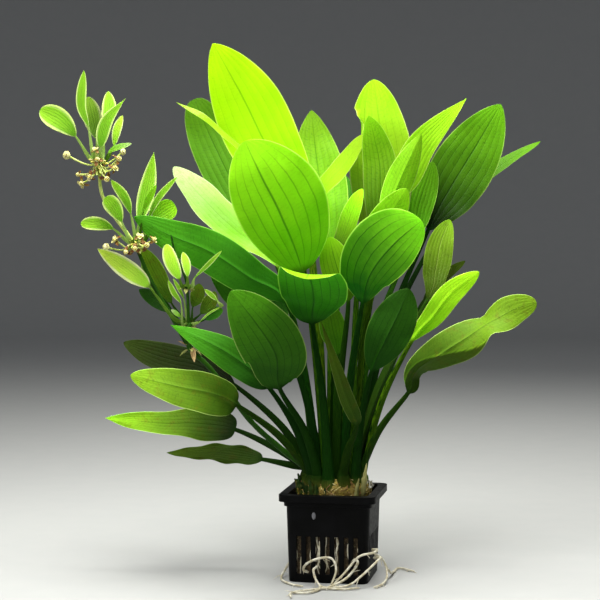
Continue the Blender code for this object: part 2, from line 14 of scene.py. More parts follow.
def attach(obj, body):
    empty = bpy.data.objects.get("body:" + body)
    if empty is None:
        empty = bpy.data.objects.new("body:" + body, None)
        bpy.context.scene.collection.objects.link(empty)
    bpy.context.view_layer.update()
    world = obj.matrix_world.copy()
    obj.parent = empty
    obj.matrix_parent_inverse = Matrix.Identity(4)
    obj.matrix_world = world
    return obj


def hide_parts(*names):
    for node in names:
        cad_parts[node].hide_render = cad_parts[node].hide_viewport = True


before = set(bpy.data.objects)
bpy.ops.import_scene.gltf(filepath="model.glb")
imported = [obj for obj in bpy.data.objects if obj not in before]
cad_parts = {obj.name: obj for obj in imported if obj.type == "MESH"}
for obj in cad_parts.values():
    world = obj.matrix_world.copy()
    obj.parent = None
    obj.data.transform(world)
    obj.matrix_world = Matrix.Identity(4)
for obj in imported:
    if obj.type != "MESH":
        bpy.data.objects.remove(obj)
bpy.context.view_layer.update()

MM = 0.001
VIEWER = (0, -1, 0)
BRIGHT = "leaf_bright"
DARK = "leaf_dark"

# Leaf stalks and blades, in millimetres: stalks are given at the foot, the sheath and the neck
FOOT_HEIGHT = 92.3
SHEATH_DEPTH = 14.0
STALK_WIDE = (12.0, 9.2, 3.8)
STALK_THICK = (6.4, 4.8, 2.7)
SHEATH_SHARE = 0.15
BLADE_THIN = 0.55
QUILT_RISE = 0.25
UNEVEN = 1.6
WIDE_BLADE = 30
POINTS_ACROSS = 33
POINTS_ACROSS_WIDE = 49
BLADE_RINGS = 50
STALK_RINGS = 24
SPAN_STEPS = 12

# A leaf stalk rises upright from the crown, then bows out; shares of the way out and up to the neck
UPRIGHT = 7.0
BOW_OUT = 0.38
BOW_UP = 0.55

# Share of the leaf map below the neck, and the side veins: distance and wander in half blades
NECK_SHARE = 0.3
VEIN_STEP = 0.25
VEIN_WANDER = 0.06

# A folded blade: width of the painted highlight line beside the crease, how much it is lightened, and the
# painted shade beyond it
CREASE_WIDE = 1.6
CREASE_PAINTED_HIGHLIGHT = 1.7
FOLD_PAINTED_SHADE = 0.55


# Node graphs

class Value:
    """A number in a node graph, so that sums and products are written with their signs."""

    def __init__(self, graph, socket):
        self.graph = graph
        self.socket = socket

    def __add__(self, other):
        return self.graph.math("ADD", self, other)

    def __sub__(self, other):
        return self.graph.math("SUBTRACT", self, other)

    def __rsub__(self, other):
        return self.graph.math("SUBTRACT", other, self)

    def __mul__(self, other):
        return self.graph.math("MULTIPLY", self, other)

    def __truediv__(self, other):
        return self.graph.math("DIVIDE", self, other)

    def __pow__(self, other):
        return self.graph.math("POWER", self, other)


class Graph:
    """Short names for building a material's nodes."""

    def __init__(self, name):
        self.material = bpy.data.materials.new(name)
        self.material.use_nodes = True
        self.tree = self.material.node_tree
        self.tree.nodes.clear()
        self.output = self.tree.nodes.new("ShaderNodeOutputMaterial")

    def node(self, kind, inputs=None, **settings):
        made = self.tree.nodes.new("ShaderNode" + kind)
        for key, value in settings.items():
            setattr(made, key, value)
        for key, value in (inputs or {}).items():
            self.set(made.inputs[key], value)
        return made

    def set(self, socket, value):
        if isinstance(value, Value):
            value = value.socket
        if isinstance(value, bpy.types.NodeSocket):
            self.tree.links.new(value, socket)
        elif isinstance(value, tuple) and len(value) == 3 and socket.type == "RGBA":
            socket.default_value = (*value, 1.0)
        else:
            socket.default_value = value

    def math(self, operation, a, b=0.0, clamp=False):
        made = self.node("Math", {0: a, 1: b}, operation=operation, use_clamp=clamp)
        return Value(self, made.outputs[0])

    def step(self, value, low, high, out_low=0.0, out_high=1.0):
        """A smooth change from out_low to out_high while the value goes from low to high."""
        inputs = dict(enumerate((value, low, high, out_low, out_high)))
        return Value(self, self.node("MapRange", inputs, interpolation_type="SMOOTHSTEP").outputs[0])

    def mix(self, share, a, b):
        inputs = {0: share, 6: a, 7: b}
        return self.node("Mix", inputs, data_type="RGBA", clamp_factor=True).outputs[2]

    def noise(self, vector, scale, detail=3.0, rough=0.55):
        inputs = {"Vector": vector, "Scale": scale, "Detail": detail, "Roughness": rough}
        return Value(self, self.node("TexNoise", inputs).outputs[0])

    def uv(self, name):
        return self.node("UVMap", uv_map=name).outputs[0]

    def place(self):
        return self.node("TexCoord").outputs["Object"]

    def split(self, vector):
        return [Value(self, part) for part in self.node("SeparateXYZ", {0: vector}).outputs]

    def scaled(self, vector, scale):
        return self.node("Mapping", {0: vector, 3: scale}).outputs[0]

    def bump(self, height, distance, strength):
        inputs = {"Height": height, "Strength": strength, "Distance": distance}
        return self.node("Bump", inputs).outputs[0]

    def finish(self, colour, rough, shine, normal=None, glow=0.0):
        """Closes the material with a skin that lets the share glow of the light through."""
        skin = self.node("BsdfPrincipled", {"Base Color": colour, "Roughness": rough})
        self.set(skin.inputs["Specular IOR Level"], shine)
        if normal:
            self.set(skin.inputs["Normal"], normal)
        shader = skin.outputs[0]
        if glow:
            behind = self.node("BsdfTranslucent", {"Color": colour, "Normal": normal})
            shader = self.node("MixShader", {0: glow, 1: shader, 2: behind.outputs[0]}).outputs[0]
        self.tree.links.new(shader, self.output.inputs["Surface"])
        return self.material


def leaf_material(name, tip, foot, vein, edge, stalk, glow, mottle=0.0, spots=None, rough=0.46,
                  vein_share=0.6, cross_share=0.2, relief=-1.0, gloss=0.18, turn=1.0, rim=0.955):
    """A leaf skin: arched veins from neck to tip, fine cross veins, a pale edge and a ribbed stalk.

    The leaf map holds the place across and along the leaf, the size map centimetres, the trait map
    how strongly this leaf's side veins and midrib show, and the painted light and tone map how much its
    foot and tip are lightened or darkened: partly the leaf's own tone, partly painted light and shade.
    """
    g = Graph(name)
    size = g.uv("size")
    s, t, _ = g.split(g.uv("leaf"))
    _, along_cm, _ = g.split(size)
    strength, ribbing, _ = g.split(g.uv("trait"))
    foot_painted_light_and_tone, tip_painted_light_and_tone, _ = g.split(g.uv("painted_light_and_tone"))
    v = g.math("ABSOLUTE", s * 2.0 - 1.0)
    u = g.math("DIVIDE", t - NECK_SHARE, 1.0 - NECK_SHARE, clamp=True)
    blade = g.step(t, NECK_SHARE - 0.01, NECK_SHARE + 0.05)
    soft = g.noise(size, 0.5, 2.0)
    fine = g.noise(size, 6.0, 4.0)
    # Veins, and how far the blade rises between them
    lines = g.math("PINGPONG", v + (soft - 0.5) * VEIN_WANDER, VEIN_STEP / 2)
    side_veins = g.step(lines, 0.003, 0.020, 1.0, 0.0) * g.step(v, 0.72, 0.95, 1.0, 0.1)
    side_veins = side_veins * g.step(u, 0.6, 0.98, 1.0, 0.25) * strength
    midrib = g.step(v, 0.010, 0.034, 1.0, 0.0) * ribbing * g.step(u, 0.7, 1.0, 1.0, 0.4)
    veins = g.math("MAXIMUM", side_veins, midrib) * blade
    slant = along_cm * 3.0 + v * -2.6 + g.noise(size, 1.6, 3.0) * 2.4
    cross = g.step(g.math("PINGPONG", slant, 0.5), 0.03, 0.24, 1.0, 0.0) * blade
    cross = cross * g.step(g.noise(size, 2.2, 2.0), 0.40, 0.62)
    puff = (lines / (VEIN_STEP / 2)) ** 0.6
    # Colours of the blade: darker towards the foot, partly the leaf's own colour and partly painted shade
    colour = g.mix(u ** turn + (soft - 0.5) * 0.5, foot, tip)
    grain = g.step(fine, 0.45, 0.75) * (0.14 + mottle * 0.35)
    colour = g.mix(grain, colour, g.mix(0.5, colour, vein))
    if spots:
        patch = g.step(g.noise(size, 1.1, 3.0, 0.6), 0.52, 0.68)
        colour = g.mix(patch * mottle, colour, spots)
    colour = g.mix(cross * cross_share, colour, vein)
    colour = g.mix(veins * vein_share, colour, vein)
    colour = g.mix(g.step(v, rim, 0.2 * rim + 0.8) * blade, colour, edge)
    # Painted light and shade with the leaf's own tone: the colour is scaled by the foot and tip factors,
    # lowered or raised at a crease
    painted_light_and_tone = foot_painted_light_and_tone + (tip_painted_light_and_tone - foot_painted_light_and_tone) * u ** 1.3
    colour = g.node("VectorMath", {0: colour, "Scale": painted_light_and_tone}, operation="SCALE").outputs[0]
    # Colours of the stalk
    ribs = g.noise(g.scaled(size, (40.0, 1.2, 1.0)), 1.0, 2.0)
    low = g.mix(g.step(ribs, 0.35, 0.65), stalk, g.mix(0.35, stalk, colour))
    low = g.mix(g.step(along_cm + ribs * 2.0, -0.2, 1.4), SHEATH_TINT, low)
    colour = g.mix(blade, low, colour)
    # Relief and gloss
    height = (veins * relief + puff * 0.5 + cross * (relief * 0.3)) * blade
    normal = g.bump(height + ribs * (1.0 - blade) + fine * 0.25, 0.0004, 0.7)
    sheen = g.step(fine, 0.2, 0.8, rough - 0.07, rough + 0.1)
    return g.finish(colour, sheen, (blade * 0.7 + 0.3) * gloss, normal, glow)


# Colours of the leaves: tip, foot, vein, edge, stalk, how much light passes, and what else differs;
# the darker foot colours are partly the leaves' own colour and partly painted shade
SHEATH_TINT = (0.12, 0.13, 0.02)
LOOKS = {
    "lime": ((0.68, 0.93, 0.010), (0.48, 0.84, 0.010), (0.24, 0.58, 0.006), (0.80, 1.0, 0.20),
             (0.018, 0.075, 0.006), 0.58, dict(cross_share=0.08)),
    "bright": ((0.44, 0.86, 0.012), (0.17, 0.52, 0.008), (0.05, 0.27, 0.004), (0.66, 0.95, 0.15),
               (0.012, 0.055, 0.004), 0.55, dict(vein_share=0.75, cross_share=0.10, turn=0.65)),
    "spring": ((0.38, 0.76, 0.014), (0.20, 0.52, 0.010), (0.10, 0.36, 0.005), (0.68, 0.94, 0.18),
               (0.012, 0.055, 0.004), 0.52, dict(mottle=0.4, cross_share=0.35)),
    "pale": ((0.82, 0.99, 0.50), (0.42, 0.82, 0.05), (0.25, 0.62, 0.03), (0.90, 1.0, 0.60),
             (0.018, 0.075, 0.006), 0.45,
             dict(mottle=0.25, spots=(0.34, 0.72, 0.04), vein_share=0.3, turn=2.6)),
    "yellow": ((0.58, 0.90, 0.03), (0.34, 0.70, 0.012), (0.18, 0.48, 0.006), (0.85, 1.0, 0.30),
               (0.012, 0.055, 0.004), 0.55, dict(vein_share=0.4)),
    "fresh": ((0.30, 0.76, 0.018), (0.020, 0.20, 0.008), (0.010, 0.11, 0.004), (0.60, 0.92, 0.15),
              (0.008, 0.040, 0.004), 0.48, dict(vein_share=0.8, cross_share=0.10, turn=1.5)),
    "mid": ((0.18, 0.48, 0.010), (0.08, 0.30, 0.008), (0.03, 0.15, 0.004), (0.48, 0.78, 0.14),
            (0.009, 0.045, 0.004), 0.46, dict(cross_share=0.25, gloss=0.12)),
    "deep": ((0.07, 0.32, 0.008), (0.025, 0.17, 0.006), (0.010, 0.08, 0.004), (0.26, 0.56, 0.07),
             (0.006, 0.030, 0.003), 0.40, {}),
    "moss": ((0.34, 0.60, 0.025), (0.14, 0.28, 0.008), (0.62, 0.82, 0.16), (0.55, 0.75, 0.14),
             (0.03, 0.09, 0.008), 0.46, dict(mottle=0.6, spots=(0.16, 0.30, 0.010), vein_share=0.7)),
    "olive": ((0.15, 0.27, 0.010), (0.05, 0.13, 0.006), (0.03, 0.08, 0.004), (0.40, 0.55, 0.14),
              (0.009, 0.035, 0.003), 0.40,
              dict(mottle=0.5, spots=(0.12, 0.14, 0.008), cross_share=0.25, gloss=0.08, rough=0.6)),
    "low": ((0.14, 0.50, 0.012), (0.032, 0.17, 0.006), (0.014, 0.09, 0.004), (0.52, 0.78, 0.18),
            (0.008, 0.036, 0.003), 0.42,
            dict(mottle=0.2, spots=(0.07, 0.23, 0.008), gloss=0.12, rough=0.55)),
    "young": ((0.48, 0.84, 0.045), (0.24, 0.58, 0.030), (0.14, 0.42, 0.02), (0.85, 0.98, 0.40),
              (0.44, 0.58, 0.18), 0.46, dict(vein_share=0.4, rim=0.62)),
    "tender": ((0.82, 1.0, 0.12), (0.54, 0.95, 0.07), (0.32, 0.72, 0.04), (0.95, 1.0, 0.60),
               (0.08, 0.17, 0.025), 0.46, dict(vein_share=0.35, rim=0.62)),
}
UNDERSIDE = dict(rough=0.6, relief=0.7, gloss=0.12)


def leaf_finish(look, under_look):
    """The upper and lower materials of a look; below, the veins stand out and the gloss is less."""
    finishes = []
    for name, key, changes in (
        ("skin_" + look, look, {}), ("skin_" + under_look + "_under", under_look, UNDERSIDE),
    ):
        *colours, more = LOOKS[key]
        made = bpy.data.materials.get(name)
        finishes.append(made or leaf_material(name, *colours, **{**more, **changes}))
    return finishes


def plain_material(name, low, high, scale, rough, relief=0.0003, third=None, glow=0.0,
                   stretch=(1.0, 1.0, 1.0), specular=0.3):
    """Two or three tones of a noise with fine bumps, for stalk, roots, fibres and plastic."""
    g = Graph(name)
    where = g.scaled(g.place(), stretch)
    broad = g.noise(where, scale, 4.0, 0.6)
    fine = g.noise(where, scale * 7, 5.0, 0.65)
    colour = g.mix(g.step(broad, 0.35, 0.65), low, high)
    if third:
        colour = g.mix(g.step(g.noise(where, scale * 2.3, 3.0), 0.55, 0.68), colour, third)
    colour = g.mix(g.step(fine, 0.45, 0.75) * 0.3, colour, low)
    normal = g.bump(fine + broad * 0.6, relief, 0.8)
    sheen = g.step(fine, 0.25, 0.75, rough - 0.08, rough + 0.1)
    return g.finish(colour, sheen, specular, normal, glow)


# Curves, rings and tubes

def smooth_path(points, per_span=SPAN_STEPS):
    """A dense curve through the points, with its running length."""
    ends = [points[0] * 2 - points[1], *points, points[-1] * 2 - points[-2]]
    path = []
    for a, b, c, d in zip(ends, ends[1:], ends[2:], ends[3:]):
        for i in range(per_span):
            t = i / per_span
            point = 2 * b + (c - a) * t
            point += (2 * a - 5 * b + 4 * c - d) * t**2
            point += (3 * b - a - 3 * c + d) * t**3
            path.append(0.5 * point)
    path.append(points[-1].copy())
    lengths = [0.0]
    for before, after in zip(path, path[1:]):
        lengths.append(lengths[-1] + (after - before).length)
    return path, lengths


def along(path, lengths, distance):
    """The point and the direction at a distance along a dense curve."""
    distance = min(max(distance, 0.0), lengths[-1])
    i = 1
    while i < len(path) - 1 and lengths[i] < distance:
        i += 1
    share = (distance - lengths[i - 1]) / max(lengths[i] - lengths[i - 1], 1e-9)
    direction = (path[min(i + 1, len(path) - 1)] - path[max(i - 2, 0)]).normalized()
    return path[i - 1].lerp(path[i], share), direction


def turns(count):
    """Evenly spaced angles round a circle."""
    return [2 * math.pi * n / count for n in range(count)]


def join_rings(form, loops, index=0):
    """Faces between rings of one count, and over both ends."""
    for low, high in zip(loops, loops[1:]):
        for n in range(len(low)):
            m = (n + 1) % len(low)
            form.faces.new((low[n], low[m], high[m], high[n])).material_index = index
    form.faces.new(loops[0]).material_index = index
    form.faces.new(loops[-1]).material_index = index


def tube(form, points, radii, sides, per_span, wobble=0.0, seed=0.0, index=0):
    """A round closed tube along a smooth route. radii are spread evenly along it."""
    path, lengths = smooth_path([Vector(p) for p in points], per_span)
    normal = (path[1] - path[0]).orthogonal().normalized()
    loops = []
    for i, centre in enumerate(path):
        direction = (path[min(i + 1, len(path) - 1)] - path[max(i - 1, 0)]).normalized()
        normal = (normal - direction * normal.dot(direction)).normalized()
        other = direction.cross(normal)
        share = lengths[i] / lengths[-1] * (len(radii) - 1)
        k = min(int(share), len(radii) - 2)
        radius = radii[k] + (radii[k + 1] - radii[k]) * (share - k)
        if wobble:
            radius *= 1 + wobble * noise.noise(Vector((seed, lengths[i] * 0.35, 0)))
        if i in (0, len(path) - 1):
            radius *= 0.45
        ring = [centre + radius * (math.cos(a) * normal + math.sin(a) * other) for a in turns(sides)]
        loops.append([form.verts.new(p) for p in ring])
    join_rings(form, loops, index)


def ball(form, centre, radius, index, detail, lumps=0.0, stretch=(1, 1, 1), seed=0.0):
    """A ball, or a lumpy one."""
    shape = Matrix.Translation(centre) @ Matrix.Diagonal((*stretch, 1))
    made = bmesh.ops.create_icosphere(form, subdivisions=detail, radius=radius, matrix=shape)
    for vert in made["verts"]:
        if lumps:
            out = vert.co - centre
            vert.co = centre + out * (1 + lumps * noise.noise(out * (2.2 / radius) + Vector((seed, 0, 0))))
        for face in vert.link_faces:
            face.material_index = index


def show(name, form, materials, node, sharp=60):
    """Turns a bmesh in millimetres into a piece that rides on the plant."""
    bmesh.ops.recalc_face_normals(form, faces=form.faces)
    bmesh.ops.scale(form, vec=(MM, MM, MM), verts=form.verts)
    mesh = bpy.data.meshes.new(name)
    form.to_mesh(mesh)
    form.free()
    for made in materials:
        mesh.materials.append(made)
    mesh.shade_smooth()
    mesh.set_sharp_from_angle(angle=math.radians(sharp))
    piece = bpy.data.objects.new(name, mesh)
    bpy.context.scene.collection.objects.link(piece)
    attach(piece, "root")
    if node:
        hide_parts(node)
    return piece


# Leaves

def three_stops(values, share):
    """Foot, sheath and neck values: quick change over the sheath, slow along the stalk."""
    if share < SHEATH_SHARE:
        return values[0] + (values[1] - values[0]) * share / SHEATH_SHARE
    return values[1] + (values[2] - values[1]) * (share - SHEATH_SHARE) / (1 - SHEATH_SHARE)


def half_width(u, width, base_power, tip_power):
    """Half of a blade's width at share u from its neck to its tip."""
    widest = base_power / (base_power + tip_power)
    if u <= 0 or u >= 1:
        return 0.0
    return width / 2 * (u / widest) ** base_power * ((1 - u) / (1 - widest)) ** tip_power


def blend_facing(faces, share):
    """The way the blade faces at a share of the blade, between the given ways."""
    place_on_list = share * (len(faces) - 1)
    i = min(int(place_on_list), len(faces) - 2)
    return faces[i].lerp(faces[i + 1], place_on_list - i)


def smooth_share(value, low, high):
    share = min(max((value - low) / (high - low), 0.0), 1.0)
    return share * share * (3 - 2 * share)


def rolled(x, lift, half, v, start, turn):
    """Bends the part of a section beyond start round an arc, which turns the edge over."""
    if turn == 0:
        return x, lift
    reach = (abs(v) - start) * half
    bend = turn / ((1 - start) * half)
    sign = 1 if v > 0 else -1
    angle = bend * reach
    radius = 1 / bend
    return sign * (start * half + radius * math.sin(angle)), lift + radius * (1 - math.cos(angle))


def fine_leaf(name, node, points, neck_index, first_facing, faces, width, powers, fold, wave, look,
              painted_light_and_tone=(1.0, 1.0), sides=(1, 1), slim=1.0, sheath=SHEATH_DEPTH, across=POINTS_ACROSS,
              blade_rings=BLADE_RINGS, stalk_rings=STALK_RINGS, ruffle=0.5, rolls=(), thin=BLADE_THIN,
              veins=(0.7, 1.0), quilt=QUILT_RISE, crease=None, under_look=None, slot="leaf_green"):
    """One leaf: a D-shaped stalk that flattens into a thin blade, and its four maps.

    sides widens or narrows the left and right halves, veins gives how strongly the side veins and
    the midrib show, painted_light_and_tone how much the foot and the tip are lightened or darkened,
    partly the leaf's own tone and partly painted light and shade, and quilt how far the blade rises
    between the veins. crease is (share where it starts on the left edge, share where it ends on the
    right edge, degrees): right of that line the blade is folded back and painted darker, with a
    painted highlight along the line. A roll is (side, share where it starts, share where it ends,
    share of the half width, degrees).
    """
    path, lengths = smooth_path(points)
    neck = lengths[neck_index * SPAN_STEPS]
    total = lengths[-1]
    faces = [Vector(face).normalized() for face in faces]
    if len(faces) == 1:
        faces = faces * 2
    turned = 1
    if first_facing.dot(faces[0]) < 0:
        faces = [-face for face in faces]
        sides = sides[::-1]
        turned = -1
    phase = sum(map(ord, name)) * 0.37

    # Where the rings stand: distance, share of the stalk, and share of the blade
    stops = [(-sheath, 0.0, None), (-sheath * 0.5, 0.0, None)]
    for i in range(stalk_rings):
        share = (i / stalk_rings) ** 1.2
        stops.append((neck * share, share, None))
    for i in range(blade_rings + 1):
        u = (1 - math.cos(math.pi * i / blade_rings)) / 2
        stops.append((neck + (total - neck) * u, 1.0, u))

    grid = [-1 + 2 * k / (across - 1) for k in range(across)]
    form = bmesh.new()
    leaf_map = form.loops.layers.uv.new("leaf")
    size_map = form.loops.layers.uv.new("size")
    trait_map = form.loops.layers.uv.new("trait")
    painted_light_and_tone_map = form.loops.layers.uv.new("painted_light_and_tone")
    loops, labels = [], []
    for distance, share, u in stops:
        centre, direction = along(path, lengths, distance)
        if distance <= 0:
            direction = (points[1] - points[0]).normalized()
            centre = points[0] + direction * distance
        facing = first_facing.lerp(faces[0], share) if u is None else blend_facing(faces, u)
        facing = (facing - direction * facing.dot(direction)).normalized()
        side = direction.cross(facing)
        stalk_half = three_stops(STALK_WIDE, share) / 2 * slim
        deep = three_stops(STALK_THICK, share) * slim
        if distance < 0:
            stalk_half *= 1 - 0.03 * distance
            deep *= 1 - 0.02 * distance
        half, flat = stalk_half, 0.0
        if u is not None:
            wide = half_width(u, width, *powers)
            half = max(wide, stalk_half * (1 - u) ** 4, 0.3)
            flat = smooth_share(wide / stalk_half, 0.6, 2.6) if u < 0.5 else 1.0
            frill = smooth_share(u, 0.02, 0.2) * smooth_share(1 - u, 0.0, 0.15) * half * 0.06
            ripple = wave[0] * math.sin(2 * math.pi * (wave[1] * u + wave[2])) * min(u * 4, 1.0)
        top, under, painted_lights = [], [], []
        uneven = 0.0 if u is None else min(u * 5, 1.0)
        for v in grid:
            x = half * v * (1 + ((sides[0] if v < 0 else sides[1]) - 1) * uneven)
            lift = -deep * 0.15 * v * v
            depth = deep * max(1 - abs(v) ** 2.4, 0.0) ** 0.42
            # light is this point's painted light: 1, raised on the crease line, lowered on the folded part
            light = 1.0
            if u is not None:
                rim = ruffle * abs(v) ** 4 * math.sin(2 * math.pi * (3.3 * u + 0.5 * v) + phase) * frill
                sheet = half * (fold * uneven) * abs(v) ** 1.5 + ripple * v * abs(v) + rim
                sheet += UNEVEN * uneven * noise.noise(Vector((x * 0.045 + phase, distance * 0.035, phase)))
                puff = math.sin(math.pi * abs(v) / VEIN_STEP) ** 2 * smooth_share(-abs(v), -1.0, -0.7)
                puff = quilt * puff * min(half / 25, 1.0)
                sheet += puff * smooth_share(u, 0.02, 0.3) * smooth_share(1 - u, 0, 0.4)
                rib = deep * 0.75 * math.exp(-((x / 1.3) ** 2)) * (1 - u) ** 1.3
                lift += (sheet - lift) * flat
                depth += (thin * (1 - 0.72 * v * v) * (0.55 + 0.45 * (1 - u)) + rib - depth) * flat
                # Painted light at a crease: a painted highlight on a strip along the line, painted shade on
                # the part folded back beyond it
                if crease and u < crease[1]:
                    line = -1 + 2 * (u - crease[0]) / (crease[1] - crease[0])
                    beyond = (v * turned - max(line, -1.0)) * half
                    if -CREASE_WIDE < beyond <= 0:
                        light = CREASE_PAINTED_HIGHLIGHT
                    if beyond > 0:
                        light = FOLD_PAINTED_SHADE
                        angle = math.radians(crease[2]) * smooth_share(u, 0.0, 0.08)
                        x -= turned * beyond * (1 - math.cos(angle))
                        lift -= turned * beyond * math.sin(angle)
                for side_sign, low, high, start, angle in rolls:
                    if v * side_sign > start:
                        window = smooth_share(u, low, low + 0.1) * smooth_share(-u, -high, -high + 0.1)
                        x, lift = rolled(x, lift, half, v, start, math.radians(angle) * window)
            top.append(centre + side * x + facing * lift)
            under.append(centre + side * x + facing * (lift - depth))
            painted_lights.append(light)
        loops.append([form.verts.new(p) for p in top + under[-2:0:-1]])
        t = NECK_SHARE * share if u is None else NECK_SHARE + (1 - NECK_SHARE) * u
        marks = zip(grid + grid[-2:0:-1], painted_lights + painted_lights[-2:0:-1])
        labels.append(
            [((v + 1) / 2, t, v * half * 0.1 + phase, distance * 0.1, light) for v, light in marks])

    def add_face(verts, marks, index):
        face = form.faces.new(verts)
        face.material_index = index
        for corner, mark in zip(face.loops, marks):
            corner[leaf_map].uv = mark[:2]
            corner[size_map].uv = mark[2:4]
            corner[trait_map].uv = veins
            # mark[4] carries the crease's painted highlight and painted shade into the painted light and
            # tone map
            corner[painted_light_and_tone_map].uv = (painted_light_and_tone[0] * mark[4], painted_light_and_tone[1] * mark[4])

    for low, high, low_marks, high_marks in zip(loops, loops[1:], labels, labels[1:]):
        for j in range(len(low)):
            k = (j + 1) % len(low)
            marks = (low_marks[j], low_marks[k], high_marks[k], high_marks[j])
            add_face((low[j], low[k], high[k], high[j]), marks, 0 if j < across - 1 else 1)
    add_face(loops[0], labels[0], 1)
    add_face(loops[-1], labels[-1], 1)
    return show(name, form, leaf_finish(look, under_look or look), node)


def leaf(name, foot, neck, blade, width, look, painted_light_and_tone=(1.0, 1.0), faces=(VIEWER,), powers=(0.75, 0.65),
         fold=0.06, wave=(0, 1, 0), **more):
    """A rosette leaf: foot is its ring radius and angle on the crown, in mm and degrees."""
    radius, angle = foot
    outward = Vector((math.cos(math.radians(angle)), math.sin(math.radians(angle)), 0))
    base = outward * radius + Vector((0, 0, FOOT_HEIGHT))
    neck = Vector(neck)
    bow = Vector(((neck.x - base.x) * BOW_OUT, (neck.y - base.y) * BOW_OUT, (neck.z - base.z) * BOW_UP))
    middle = base + bow
    rise = base + Vector((0, 0, min(UPRIGHT, (neck.z - base.z) * 0.5)))
    points = [base, rise, middle, neck, *[Vector(point) for point in blade]]
    if width > WIDE_BLADE:
        more["across"] = POINTS_ACROSS_WIDE
    fine_leaf("fine_leaf_" + name, "leaf_" + name, points, 3, -outward, faces, width, powers, fold, wave,
              look, painted_light_and_tone, **more)


